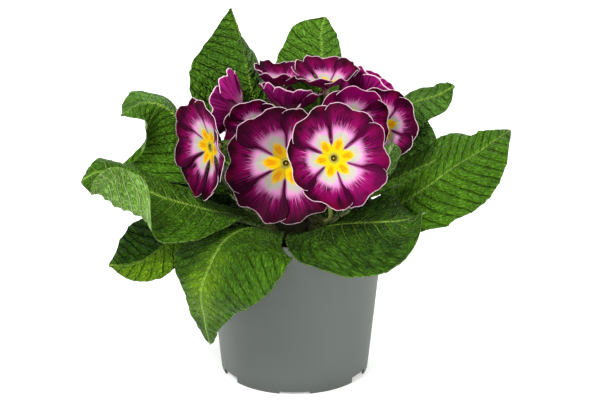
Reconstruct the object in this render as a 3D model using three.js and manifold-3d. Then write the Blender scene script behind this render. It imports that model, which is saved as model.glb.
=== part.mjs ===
// Potted primrose. Millimetres, +Z up, pot axis on the origin, front of the plant towards -Y.
import * as THREE from 'three';
import { mergeVertices } from 'three/addons/utils/BufferGeometryUtils.js';
import Module from 'manifold-3d';

const wasm = await Module();
wasm.setup();

// ---- driving dimensions -------------------------------------------------------------------------
const GAP = 0.3;
const POT_HEIGHT = 90;
const POT_TOP_RADIUS = 50.4;
const POT_FOOT_RADIUS = 41.5;
const POT_WALL = 1.2;
const POT_SIDES = 32;
const CROWN_SIDES = 16;
const LIP_HEIGHT = 4;
const LIP_RADIUS = 52.5;
const FLOOR_HEIGHT = 4;
const FOOT_CHAMFER = 0.5;
const DRAIN_RADIUS = 4;
const DRAIN_CIRCLE = 25;
const DRAIN_COUNT = 6;
const DEEP_NOTCH = { height: 3.6, halfAngle: 9.7, at: [-30, -150, 90] };
const SHALLOW_NOTCH = { height: 1.5, halfAngle: 11.5, at: [-90, 30, 150] };

const SOIL_TOP = 75;
const SOIL_LUMP = 1.6;
const SOIL_RINGS = [24, 36];

const CROWN = { low: 14, high: 11, foot: 62, step: 81.5, top: 88 };

const BLADE = 0.8;
const KEEL = 2.6;
const TIP_KEEL = 1.1;
const QUILT = 0.55;
const LEAF_ROWS = 10;
const LEAF_COLUMNS = [0, 0.3, 0.65, 1];
const VEIN_LEAN = 0.75;
const MARGIN_WAVE = 1.1;
const TROUGH = 35;
const BEND_STEPS = 12;

const PETAL = 0.8;
const THROAT_RADIUS = 2.2;
const THROAT_DEPTH = 1.6;
const EYE_RADIUS = 5.4;
const PETAL_ROWS = [0.33, 0.7, 1];
const PETAL_COLUMNS = [-1, -0.66, -0.33, 0, 0.33, 0.66, 1];
const PETAL_TILT = 1.25;
const PETAL_JOIN = 0.985;
const PETAL_OVERLAP = 1.3;
const LAP_FROM = 0.3;
const LAP_TO = 0.75;
const NOTCH_DEPTH = 0.09;
const NOTCH_WIDTH = 0.3;
const SHOULDER = 0.12;
const RUFFLE = 1.1;
const TUBE_RADIUS = 1.7;
const TUBE_LENGTH = 5;
const CALYX_LENGTH = 12;
const CALYX_MOUTH = 3.3;
const STEM_RADIUS = 1.15;
const STALK_SIDES = 5;

// ---- leaves: spine from the crown to the tip, with the half widths, roll and bend at its points ----
// left and right are as seen looking outwards along the leaf from above; roll lifts the left side;
// fold lifts each half from flat, curl bends it further by its margin (degrees, one pair or one a point)
const LEAVES = [
  { // tall leaf standing behind the flowers on the left, its right half turned away
    azimuth: 100, blade: 2.2,
    spine: [[-3.7, 11.6, 85], [-11, 18, 108], [-18, 20, 134], [-24, 22, 157], [-27, 27, 173], [-30, 30, 187],
      [-34.5, 31, 200.5]],
    left: [2.2, 2.8, 16, 33, 31, 20, 4], right: [2.2, 2.8, 7, 12, 21, 14, 4],
    roll: [0, 0, 0, 0, 0, 0, 0],
    fold: [[10, 10], [8, 10], [2, -20], [0, -35], [0, -55], [2, -75], [5, -75]], curl: [4, -20],
  },
  { // upright leaf behind the top flower
    azimuth: 84, blade: 2.2,
    spine: [[2.3, 12, 85], [8, 23, 106], [13, 34, 132], [15, 42, 157], [15.5, 46, 171], [15, 49, 182],
      [17, 51, 190.5]],
    left: [2.2, 2.8, 12, 26, 25, 17, 4], right: [2.2, 2.8, 9, 12, 12, 10, 4],
    roll: [0, 0, 0, 0, 0, 0, 0], fold: [6, -20], curl: [-15, -20],
  },
  { // left middle, arched, its near half hanging
    azimuth: 190, blade: 2.0,
    spine: [[-12, -1.6, 85], [-25, -6, 98], [-40, -5, 113], [-54, -2, 133], [-68, -3, 152], [-81, -12, 159],
      [-92, -24, 157]],
    left: [2.4, 2.8, 12, 32, 38, 15, 5], right: [2.4, 2.8, 8, 13, 15, 13, 5],
    roll: [0, 0, -4, -8, -8, -8, -8],
    fold: [[10, 10], [0, 8], [-30, 5], [-66, 10], [-70, 10], [-55, 8], [-35, 0]], curl: [-10, -25],
  },
  { // long left leaf, its near margin folded up and over
    azimuth: 212, blade: 1.6, crease: [0.32, 0.62],
    spine: [[-10.2, -6.4, 85], [-28, -23, 97], [-50, -35, 108], [-71, -43, 117], [-88, -46, 127],
      [-102, -45, 131], [-113, -43, 125]],
    left: [2.2, 5, 23, 32, 40, 26, 6], right: [2.2, 8, 18, 19, 16, 13, 5],
    roll: [0, 0, -12, -20, -20, -15, 0],
    fold: [[8, 8], [4, 6], [-8, 10], [-30, 20], [-48, 28], [-30, 18], [-10, 0]],
    curl: [[-10, -10], [-10, -20], [-10, -20], [25, -30], [175, -40], [95, -40], [20, -30]],
  },
  { // lower left leaf
    azimuth: 202, blade: 1.8,
    spine: [[-14, -5.6, 79], [-34, -15, 93], [-52, -23, 93], [-67, -29, 86], [-80, -35, 78], [-91, -38, 75.5],
      [-100, -40, 76]],
    left: [2.6, 3.4, 12, 16, 17, 13, 4], right: [2.6, 3.4, 14, 22, 23, 17, 4],
    roll: [0, 0, 0, 0, 0, 0, 0], fold: [-8, 42], curl: [-15, -20],
  },
  { // front left leaf hanging over the pot
    azimuth: 236, blade: 1.1,
    spine: [[-8.4, -12.6, 79], [-20, -28, 93], [-34, -46, 96], [-42, -60, 91], [-48, -68, 77], [-49, -67, 64],
      [-48, -59, 49], [-46, -51, 35]],
    left: [2.6, 18, 38, 43, 35, 20, 9, 3], right: [2.6, 6, 22, 26, 22, 13, 8, 3],
    roll: [0, 0, 4, 6, 6, 2, 0, 0],
    fold: [[-4, -4], [-4, -4], [-4, 0], [-4, 4], [-4, 0], [-4, -4], [-4, -4], [-4, -4]], curl: [-14, -14],
  },
  { // front right leaf
    azimuth: 300, blade: 1.1,
    spine: [[7.2, -13, 79], [15, -36, 97], [26, -53, 105], [39, -60, 108], [52, -63, 110], [61, -63, 112],
      [68, -61, 115]],
    left: [2.6, 10, 20, 24, 24, 21, 7], right: [2.6, 24, 34, 34, 31, 20, 6],
    roll: [0, -2, 12, 24, 24, 20, 14], fold: [4, -8], curl: [-6, -20],
  },
  { // big right leaf
    azimuth: 338, blade: 1.2,
    spine: [[14.9, -3.6, 79], [34, -15, 92], [52, -24, 103], [70, -31, 117], [84, -34, 129], [98, -35, 139],
      [114, -35, 151]],
    left: [2.6, 13, 13, 12, 16, 15, 5], right: [2.6, 9, 17, 27, 31, 27, 8],
    roll: [0, 6, 24, 34, 36, 32, 20], fold: [6, -4], curl: [0, -16],
  },
  { // small leaf behind the big right one
    azimuth: 356, blade: 1.3,
    spine: [[11.8, -2.6, 85], [32, -4, 102], [54, -6, 113], [72, -7, 122], [84, -6, 129], [94, -5, 134],
      [101, -4, 137]],
    left: [2.2, 2.8, 9, 16, 15, 11, 5], right: [2.2, 7, 7, 8, 9, 8, 4],
    roll: [0, 0, 10, 15, 15, 15, 10], fold: [10, 0], curl: [-10, -10],
  },
  { // right upper leaf
    azimuth: 26, blade: 2.8,
    spine: [[12.1, 3.1, 85], [27, 14, 104], [40, 24, 122], [54, 25, 138], [67, 23, 149], [79, 20, 154],
      [88, 18, 160]],
    left: [2.2, 2.8, 4, 7, 9, 8, 3], right: [2.2, 2.8, 4, 12, 17, 13, 4],
    roll: [0, 0, 4, 6, 6, 6, 6], fold: [8, -4], curl: [-10, -25],
  },
  { // right middle leaf, standing, its upper side turned to the front
    azimuth: 12, blade: 1.8,
    spine: [[14.9, 2.6, 79], [32, 12, 94], [46, 20, 107], [57, 22, 120], [65, 20, 131], [70, 17, 138],
      [72, 15, 142]],
    left: [2.4, 3, 10, 13, 12, 8, 4], right: [2.4, 3, 12, 18, 19, 15, 6],
    roll: [0, 0, 20, 38, 45, 45, 45], fold: [4, 4], curl: [-12, -12],
  },
  { // small upright leaf right of the front flower
    azimuth: 316, blade: 1.9,
    spine: [[8.8, -8.6, 85], [20, -19, 97], [33, -29, 109], [41, -35, 121], [46, -38, 132], [49, -39, 140],
      [51, -39, 146]],
    left: [2.2, 2.6, 10, 14, 15, 13, 5], right: [2.2, 8, 15, 15, 12, 8, 3],
    roll: [0, 0, 0, 0, 0, 0, 0], fold: [12, 20], curl: [-20, -20],
  },
  { // shaded leaf inside the left half
    azimuth: 172, blade: 1.2,
    spine: [[-15, 2.3, 79], [-33, 6, 98], [-49, 9, 114], [-64, 12, 124], [-78, 14, 127], [-88, 14, 122]],
    left: [2.4, 15, 24, 25, 18, 5], right: [2.4, 3.2, 9, 12, 10, 4],
    roll: [0, 0, 0, 0, 0, 0], fold: [-42, 12], curl: [-15, -25],
  },
  { // back left, low
    azimuth: 138, blade: 1.8,
    spine: [[-11.2, 10.1, 79], [-30, 26, 95], [-46, 41, 101], [-60, 54, 100], [-71, 64, 92], [-79, 71, 81]],
    left: [2.6, 3.4, 15, 23, 19, 5], right: [2.6, 3.4, 15, 23, 19, 5],
    roll: [0, 0, 0, 0, 0, 0], fold: [6, 6], curl: [-25, -25],
  },
  { // back, low, over the rim
    azimuth: 100, blade: 1.8,
    spine: [[-2.6, 14.9, 79], [-7, 36, 96], [-11, 57, 101], [-14, 75, 95], [-16, 87, 82], [-17, 93, 68]],
    left: [2.6, 3.4, 15, 23, 19, 5], right: [2.6, 3.4, 15, 23, 19, 5],
    roll: [0, 0, 0, 0, 0, 0], fold: [6, 6], curl: [-25, -25],
  },
  { // back right, low
    azimuth: 66, blade: 1.8,
    spine: [[6.2, 13.8, 79], [14, 34, 96], [24, 53, 105], [33, 68, 106], [40, 79, 99], [45, 87, 89]],
    left: [2.6, 3.4, 15, 23, 19, 5], right: [2.6, 3.4, 15, 23, 19, 5],
    roll: [0, 0, 0, 0, 0, 0], fold: [6, 6], curl: [-25, -25],
  },
  { // right back, low
    azimuth: 32, blade: 1.8,
    spine: [[12.8, 8, 79], [32, 20, 92], [52, 32, 97], [70, 42, 95], [84, 50, 87], [93, 55, 77]],
    left: [2.6, 3.4, 14, 21, 17, 5], right: [2.6, 3.4, 14, 21, 17, 5],
    roll: [0, 0, 0, 0, 0, 0], fold: [6, 6], curl: [-25, -25],
  },
  { // back left, half upright
    azimuth: 145, blade: 2.2,
    spine: [[-9.8, 7, 85], [-24, 18, 103], [-40, 29, 112], [-56, 38, 119], [-70, 45, 120], [-81, 50, 116]],
    left: [2.4, 2.8, 11, 19, 16, 5], right: [2.4, 2.8, 11, 19, 16, 5],
    roll: [0, 0, 0, 0, 0, 0], fold: [10, 10], curl: [-20, -20],
  },
  { // back right, half upright
    azimuth: 52, blade: 2.2,
    spine: [[8.8, 8.2, 85], [20, 24, 101], [31, 39, 109], [43, 53, 116], [53, 64, 118], [61, 72, 115]],
    left: [2.4, 2.8, 11, 19, 16, 5], right: [2.4, 2.8, 11, 19, 16, 5],
    roll: [0, 0, 0, 0, 0, 0], fold: [10, 10], curl: [-20, -20],
  },
  { // small pale leaf under the front right one
    azimuth: 316, blade: 1.6,
    spine: [[11.7, -9.3, 79], [24, -24, 90], [37, -37, 95], [49, -49, 96], [61, -58, 96]],
    left: [2.2, 2.8, 6, 8, 3], right: [2.2, 2.8, 7, 8, 3],
    roll: [0, 0, 0, 0, 0], fold: [10, 10], curl: [-10, -10],
  },
];

// ---- flowers: throat, the way the face looks (azimuth, elevation), size, and where the stalk stands
const BLOOMS = [
  { throat: [20.5, -58, 142.8], aim: [-71, 25], radius: 28.5, petals: 6, spin: 4, cup: 9, foot: [4, -7],
    via: [19, -43, 104] },
  { throat: [-4.5, -26.5, 129.5], aim: [-97, 9], radius: 32.5, petals: 6, spin: -2, cup: 10, foot: [-4, -7],
    via: [-1, -6, 111] },
  { throat: [-44.5, -30.8, 140], aim: [-150, 2], radius: 28, petals: 6, spin: 5, cup: 8, foot: [-7.5, -3],
    via: [-24, -21, 113] },
  { throat: [-29, -4.5, 152], aim: [160, 13], radius: 20.5, petals: 5, spin: 10, cup: 13, foot: [-7.5, 2],
    via: [-11, -8, 120] },
  { throat: [-19.5, -13, 143.5], aim: [-100, 3], radius: 19, petals: 5, spin: 36, cup: 6, foot: [-3.6, -1],
    via: [-9, 7, 121] },
  { throat: [17, 9, 162], aim: [-98, 84], radius: 19, petals: 5, spin: 30, cup: 11, foot: [3.5, 1],
    via: [14, 13, 117] },
  { throat: [28.3, -12.6, 148], aim: [-74, 0], radius: 23, petals: 5, spin: 0, cup: 8, foot: [1.5, -3.4],
    via: [14, 4, 137] },
  { throat: [37.2, 14.5, 149.9], aim: [40, 38], radius: 19, petals: 5, spin: 0, cup: 12, foot: [7.8, 2],
    via: [16, 5, 118] },
  { throat: [48, -2.2, 142.6], aim: [-108, 20], radius: 21.5, petals: 5, spin: 18, cup: 5,
    foot: [7.5, -3.2], via: [37, 9, 118] },
  { throat: [-18.9, 47.8, 135.4], aim: [113, 0], radius: 24, petals: 5, spin: 0, cup: 9, foot: [-5.4, 6],
    via: [-5, 23, 113] },
  { throat: [38.1, 44.9, 137.9], aim: [63, 21], radius: 23, petals: 5, spin: 15, cup: 9, foot: [3, 7.4],
    via: [20, 20, 115] },
  { throat: [-3.5, -2, 151], aim: [62, 72], radius: 18, petals: 5, spin: 50, cup: 13, foot: [0, -8.6],
    via: [-3, -11, 107] },
  { throat: [-8.5, 25.5, 157], aim: [-1, 84], radius: 16, petals: 5, spin: 20, cup: 11, foot: [-2.5, 3.5],
    via: [-7, 19, 116] },
];

// ---- small helpers ------------------------------------------------------------------------------
const radians = THREE.MathUtils.degToRad;

/** A repeatable number from 0 to 1 for whole-number keys. */
function chance(...keys) {
  let hash = 7;
  for (const key of keys) hash = Math.imul(hash ^ Math.round(key), 2654435761) ^ (hash >>> 13);
  return ((hash >>> 0) % 10007) / 10007;
}

/** Catmull-Rom curve through lists of three numbers, at station u (0 to the last index). */
function track(rows) {
  const knots = rows.map((row) => new THREE.Vector3(...row));
  const curve = new THREE.CatmullRomCurve3(knots, false, 'catmullrom', 0.5);
  const last = rows.length - 1;
  return (u) => curve.getPoint(THREE.MathUtils.clamp(u, 0, last) / last);
}

/** One pair for every station: a single pair is repeated. */
function pairs(value, last) {
  const list = Array.isArray(value[0]) ? value : Array(last + 1).fill(value);
  return list.map(([left, right]) => [left, right, 0]);
}

/** Turns a list of points and a list of triangles into one indexed geometry. */
function geometryFrom(points, triangles) {
  const geometry = new THREE.BufferGeometry();
  geometry.setAttribute('position', new THREE.Float32BufferAttribute(points.flatMap((p) => p.toArray()), 3));
  geometry.setIndex(triangles.flat());
  return geometry;
}

/** Closed three.js geometry as a manifold solid. */
function solidFrom(source) {
  const bare = source.clone();
  bare.deleteAttribute('normal');
  bare.deleteAttribute('uv');
  const merged = mergeVertices(bare, 1e-4);
  const vertProperties = Float32Array.from(merged.attributes.position.array);
  const triVerts = Uint32Array.from(merged.index.array);
  return new wasm.Manifold(new wasm.Mesh({ numProp: 3, vertProperties, triVerts }));
}

/** Manifold solid as a three.js geometry. */
function geometryOf(solid) {
  const mesh = solid.getMesh();
  const geometry = new THREE.BufferGeometry();
  geometry.setAttribute('position', new THREE.BufferAttribute(Float32Array.from(mesh.vertProperties), 3));
  geometry.setIndex([...mesh.triVerts]);
  return geometry;
}

function lathe(profile, sides) {
  const points = profile.map(([radius, height]) => new THREE.Vector2(radius, height));
  return new THREE.LatheGeometry(points, sides).rotateX(Math.PI / 2);
}

/** Two matching sheets of points, back behind front, closed into one body; the faces split alike. */
function sheetBody(front, back) {
  const rows = front.length;
  const columns = front[0].length;
  const points = [...front.flat(), ...back.flat()];
  const top = (i, j) => i * columns + j;
  const under = (i, j) => rows * columns + i * columns + j;
  const triangles = [];
  const quad = (a, b, c, d) => triangles.push([a, b, c], [a, c, d]);
  for (let i = 0; i < rows - 1; i += 1) {
    for (let j = 0; j < columns - 1; j += 1) {
      quad(top(i, j), top(i + 1, j), top(i + 1, j + 1), top(i, j + 1));
      quad(under(i, j), under(i, j + 1), under(i + 1, j + 1), under(i + 1, j));
    }
    const end = columns - 1;
    quad(top(i, 0), under(i, 0), under(i + 1, 0), top(i + 1, 0));
    quad(top(i + 1, end), under(i + 1, end), under(i, end), top(i, end));
  }
  for (let j = 0; j < columns - 1; j += 1) {
    const last = rows - 1;
    quad(top(0, j), top(0, j + 1), under(0, j + 1), under(0, j));
    quad(top(last, j + 1), top(last, j), under(last, j), under(last, j + 1));
  }
  return geometryFrom(points, triangles);
}

// ---- pot, soil and crown ------------------------------------------------------------------------
function wallRadius(height) {
  return POT_FOOT_RADIUS + (POT_TOP_RADIUS - POT_FOOT_RADIUS) * (height / POT_HEIGHT);
}

/** A block that cuts one notch out of the foot of the wall. */
function notchCutter(angle, halfAngle, height) {
  const depth = 12;
  const width = 2 * POT_FOOT_RADIUS * Math.sin(radians(halfAngle));
  const block = new THREE.BoxGeometry(depth, width, 2 * height);
  block.translate(POT_FOOT_RADIUS, 0, 0);
  return solidFrom(block.rotateZ(radians(angle)));
}

function pot() {
  const inner = (height) => wallRadius(height) - POT_WALL;
  const lipFoot = POT_HEIGHT - LIP_HEIGHT;
  const floorTop = FLOOR_HEIGHT + POT_WALL;
  let solid = solidFrom(lathe([
    [0, FLOOR_HEIGHT],
    [inner(FLOOR_HEIGHT), FLOOR_HEIGHT],
    [inner(0), 0],
    [wallRadius(0) - FOOT_CHAMFER, 0],
    [wallRadius(FOOT_CHAMFER), FOOT_CHAMFER],
    [wallRadius(lipFoot), lipFoot],
    [LIP_RADIUS, lipFoot + 0.6],
    [LIP_RADIUS, POT_HEIGHT - 0.5],
    [LIP_RADIUS - 0.5, POT_HEIGHT],
    [inner(POT_HEIGHT), POT_HEIGHT],
    [inner(floorTop), floorTop],
    [0, floorTop],
  ], POT_SIDES));
  for (const { height, halfAngle, at } of [DEEP_NOTCH, SHALLOW_NOTCH]) {
    for (const angle of at) solid = solid.subtract(notchCutter(angle, halfAngle, height));
  }
  const drill = new THREE.CylinderGeometry(DRAIN_RADIUS, DRAIN_RADIUS, 10, 8).rotateX(Math.PI / 2);
  for (let i = 0; i < DRAIN_COUNT; i += 1) {
    const angle = (i * 2 * Math.PI) / DRAIN_COUNT;
    const hole = drill.clone();
    hole.translate(DRAIN_CIRCLE * Math.cos(angle), DRAIN_CIRCLE * Math.sin(angle), FLOOR_HEIGHT);
    solid = solid.subtract(solidFrom(hole));
  }
  return geometryOf(solid);
}

/** Peat filling the pot, lumpy on top, with a plain round hole for the crown. */
function soil() {
  const clear = (height) => wallRadius(height) - POT_WALL - GAP / Math.cos(Math.PI / POT_SIDES);
  const floor = FLOOR_HEIGHT + POT_WALL + GAP;
  const hole = (CROWN.low + GAP) / Math.cos(Math.PI / POT_SIDES);
  const pit = CROWN.foot - GAP;
  const profile = [
    [0, floor], [clear(floor), floor], [clear(SOIL_TOP), SOIL_TOP],
    ...SOIL_RINGS.slice().reverse().map((radius) => [radius, SOIL_TOP]),
    [hole, SOIL_TOP], [hole, pit], [0, pit],
  ];
  const geometry = lathe(profile, POT_SIDES);
  const position = geometry.attributes.position;
  for (let i = 0; i < position.count; i += 1) {
    const radius = Math.hypot(position.getX(i), position.getY(i));
    const ring = SOIL_RINGS.findIndex((r) => Math.abs(r - radius) < 0.1);
    if (ring >= 0 && position.getZ(i) > pit + 1) {
      const angle = Math.atan2(position.getY(i), position.getX(i));
      const step = ((Math.round((angle / (2 * Math.PI)) * POT_SIDES) % POT_SIDES) + POT_SIDES) % POT_SIDES;
      position.setZ(i, SOIL_TOP + SOIL_LUMP * (chance(ring, step) - 0.35));
    }
  }
  return geometryOf(solidFrom(geometry));
}

function crown() {
  return geometryOf(solidFrom(lathe([
    [0, CROWN.foot],
    [CROWN.low, CROWN.foot],
    [CROWN.low, CROWN.step - 1.5],
    [CROWN.low - 1, CROWN.step],
    [CROWN.high, CROWN.step],
    [CROWN.high, CROWN.top - 1],
    [CROWN.high - 1, CROWN.top],
    [0, CROWN.top],
  ], CROWN_SIDES)));
}

// ---- leaf ---------------------------------------------------------------------------------------
/** Frame of a leaf at station u: place, left and up directions after the roll. */
function leafFrame(leaf, spineAt, shapeAt, u) {
  const step = 0.02;
  const place = spineAt(u);
  const along = spineAt(u + step).sub(spineAt(u - step)).normalize();
  const azimuth = radians(leaf.azimuth);
  const left = new THREE.Vector3(-Math.sin(azimuth), Math.cos(azimuth), 0);
  left.addScaledVector(along, -left.dot(along)).normalize();
  const roll = radians(shapeAt(u).z);
  left.applyAxisAngle(along, roll);
  const up = new THREE.Vector3().crossVectors(along, left);
  return { place, left, up };
}

/** Surface point and normal of a leaf: u runs crown to tip, c runs 0 at the midrib to 1 at the margin. */
function leafPoint(leaf, tracks, u, c, side) {
  const { place, left, up } = leafFrame(leaf, tracks.spine, tracks.shape, u);
  const choose = (pair) => (side > 0 ? pair.x : pair.y);
  const half = Math.max(choose(tracks.shape(u)), 1);
  const open = THREE.MathUtils.smoothstep(u, leaf.blade - 1, leaf.blade);
  const fold = radians(TROUGH + (choose(tracks.fold(u)) - TROUGH) * open);
  const curl = radians(choose(tracks.curl(u)) * open);
  const [creaseFrom, creaseTo] = leaf.crease ?? [0, 1];
  const bendAt = (share) => {
    const bent = (share - creaseFrom) / (creaseTo - creaseFrom);
    return fold + curl * THREE.MathUtils.clamp(bent, 0, 1);
  };
  let across = 0;
  let rise = 0;
  for (let k = 0; k < BEND_STEPS; k += 1) {
    const bend = bendAt((c * (k + 0.5)) / BEND_STEPS);
    across += (half * c * Math.cos(bend)) / BEND_STEPS;
    rise += (half * c * Math.sin(bend)) / BEND_STEPS;
  }
  const angle = bendAt(c);
  const point = place.clone().addScaledVector(left, side * across).addScaledVector(up, rise);
  const normal = up.clone().multiplyScalar(Math.cos(angle)).addScaledVector(left, -side * Math.sin(angle));
  return { point, normal, half };
}

function leaf(spec) {
  const last = spec.spine.length - 1;
  const tracks = {
    spine: track(spec.spine),
    shape: track(spec.left.map((left, i) => [left, spec.right[i], spec.roll[i]])),
    fold: track(pairs(spec.fold, last)),
    curl: track(pairs(spec.curl, last)),
  };
  const bladeStart = spec.blade - 1;
  const stations = [0, 0.5 * bladeStart, bladeStart];
  for (let i = 1; i <= LEAF_ROWS; i += 1) stations.push(bladeStart + ((last - bladeStart) * i) / LEAF_ROWS);
  const front = [];
  const back = [];
  stations.forEach((station, row) => {
    const reach = (station - bladeStart) / (last - bladeStart);
    const onBlade = row > 2 && row < stations.length - 1;
    const topRow = [];
    const underRow = [];
    for (const side of [-1, 1]) {
      const columns = side < 0 ? LEAF_COLUMNS.slice(1).reverse() : LEAF_COLUMNS;
      for (const c of columns) {
        const lean = onBlade ? VEIN_LEAN * c * Math.sin(Math.PI * Math.min(reach * 1.1, 1)) : 0;
        const u = Math.min(station + lean * 0.5, last);
        const { point, normal } = leafPoint(spec, tracks, u, c, side);
        const ridge = onBlade ? (row % 2 === 0 ? 1 : -1) : 0;
        const lift = ridge * (c === 1 ? MARGIN_WAVE : QUILT * Math.sin(Math.PI * c));
        point.addScaledVector(normal, lift);
        const keel = THREE.MathUtils.lerp(KEEL, TIP_KEEL, Math.max(0, reach));
        const thickness = c === 0 ? keel : BLADE;
        topRow.push(point);
        underRow.push(point.clone().addScaledVector(normal, -thickness));
      }
    }
    front.push(topRow);
    back.push(underRow);
  });
  return geometryOf(solidFrom(sheetBody(front, back)));
}

// ---- flower -------------------------------------------------------------------------------------
/** Matrix that carries the flower's own frame (face towards +Z) to its place on the plant. */
function flowerFrame({ throat, aim, spin }) {
  const azimuth = radians(aim[0]);
  const elevation = radians(aim[1]);
  const face = new THREE.Vector3(
    Math.cos(elevation) * Math.cos(azimuth),
    Math.cos(elevation) * Math.sin(azimuth),
    Math.sin(elevation),
  );
  const right = new THREE.Vector3(-Math.sin(azimuth), Math.cos(azimuth), 0);
  const upwards = new THREE.Vector3().crossVectors(face, right);
  const matrix = new THREE.Matrix4().makeBasis(right, upwards, face);
  matrix.multiply(new THREE.Matrix4().makeRotationZ(radians(spin)));
  matrix.setPosition(...throat);
  return matrix;
}

/** Height of the limb above the throat at a distance from the flower's axis. */
function limbHeight(spec, distance) {
  return spec.cup * (distance / spec.radius) ** 1.5;
}

/** Place on one petal: p runs from the eye to the edge, q from one side to the other. */
function petalPoint(spec, index, p, q) {
  const slice = Math.PI / spec.petals;
  const lap = THREE.MathUtils.smoothstep(p, LAP_FROM, LAP_TO);
  const spread = THREE.MathUtils.lerp(PETAL_JOIN, PETAL_OVERLAP, lap);
  const notch = NOTCH_DEPTH * Math.exp(-((q / NOTCH_WIDTH) ** 2)) + SHOULDER * q ** 4;
  const reach = EYE_RADIUS + (spec.radius * (1 - notch) - EYE_RADIUS) * p;
  const angle = (index * 2 + q * spread) * slice;
  const wave = 2 * chance(index, 3 * q + 5, spec.radius, spec.spin) - 1;
  const ruffle = RUFFLE * wave * p * p * (1 - 0.7 * q ** 4);
  const overlay = PETAL_TILT * q * Math.min(1, p / 0.25);
  const height = limbHeight(spec, reach) + overlay + ruffle;
  return new THREE.Vector3(reach * Math.cos(angle), reach * Math.sin(angle), height);
}

/** Five or six notched, ruffled petals that lie over one another, on a short tube, all one body. */
function bloom(spec) {
  const points = [];
  const triangles = [];
  const add = (point) => points.push(point) - 1;
  const below = new THREE.Vector3(0, 0, -PETAL);
  const ringSize = 2 * spec.petals;
  const circle = (radius, height) => Array.from({ length: ringSize }, (_, m) => {
    const angle = ((m - 1) * Math.PI) / spec.petals;
    return add(new THREE.Vector3(radius * Math.cos(angle), radius * Math.sin(angle), height));
  });
  const eyeHeight = limbHeight(spec, EYE_RADIUS);
  const eyeTop = circle(EYE_RADIUS, eyeHeight);
  const eyeUnder = circle(EYE_RADIUS, eyeHeight - PETAL);
  const throat = circle(THROAT_RADIUS, 0.1);
  const collar = circle(THROAT_RADIUS + 0.4, -PETAL - 0.2);
  const tubeEnd = circle(TUBE_RADIUS, -TUBE_LENGTH);
  const pit = add(new THREE.Vector3(0, 0, -THROAT_DEPTH));
  const tubeCap = add(new THREE.Vector3(0, 0, -TUBE_LENGTH));
  for (let m = 0; m < ringSize; m += 1) {
    const n = (m + 1) % ringSize;
    triangles.push([eyeTop[m], eyeTop[n], throat[n]], [eyeTop[m], throat[n], throat[m]]);
    triangles.push([throat[m], throat[n], pit]);
    triangles.push([eyeUnder[m], collar[n], eyeUnder[n]], [eyeUnder[m], collar[m], collar[n]]);
    triangles.push([collar[m], tubeEnd[n], collar[n]], [collar[m], tubeEnd[m], tubeEnd[n]]);
    triangles.push([tubeEnd[m], tubeCap, tubeEnd[n]]);
  }
  const columns = PETAL_COLUMNS.length;
  const middle = (columns - 1) / 2;
  for (let index = 0; index < spec.petals; index += 1) {
    const ring = [2 * index, 2 * index + 1, (2 * index + 2) % ringSize];
    const sheets = [eyeTop, eyeUnder].map((eye, side) => ({
      eye: ring.map((m) => eye[m]),
      rows: PETAL_ROWS.map((p) => PETAL_COLUMNS.map((q) => {
        const point = petalPoint(spec, index, p, q);
        return add(side === 0 ? point : point.add(below));
      })),
    }));
    sheets.forEach(({ eye, rows }, side) => {
      const face = (a, b, c) => triangles.push(side === 0 ? [a, b, c] : [a, c, b]);
      for (let j = 0; j < columns - 1; j += 1) face(eye[j < middle ? 0 : 2], rows[0][j], rows[0][j + 1]);
      face(eye[0], rows[0][middle], eye[1]);
      face(eye[1], rows[0][middle], eye[2]);
      for (let i = 0; i < rows.length - 1; i += 1) {
        for (let j = 0; j < columns - 1; j += 1) {
          face(rows[i][j], rows[i + 1][j], rows[i + 1][j + 1]);
          face(rows[i][j], rows[i + 1][j + 1], rows[i][j + 1]);
        }
      }
    });
    const [top, under] = sheets;
    const wall = (a, b, c, d) => triangles.push([a, b, c], [a, c, d]);
    const edge = (sheet, j) => [sheet.eye[j === 0 ? 0 : 2], ...sheet.rows.map((row) => row[j])];
    for (const j of [0, columns - 1]) {
      const upper = edge(top, j);
      const lower = edge(under, j);
      for (let i = 0; i < upper.length - 1; i += 1) {
        if (j === 0) wall(upper[i], lower[i], lower[i + 1], upper[i + 1]);
        else wall(upper[i + 1], lower[i + 1], lower[i], upper[i]);
      }
    }
    const last = PETAL_ROWS.length - 1;
    for (let j = 0; j < columns - 1; j += 1) {
      wall(top.rows[last][j], under.rows[last][j], under.rows[last][j + 1], top.rows[last][j + 1]);
    }
  }
  const geometry = geometryFrom(points, triangles);
  geometry.applyMatrix4(flowerFrame(spec));
  return geometryOf(solidFrom(geometry));
}

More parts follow.
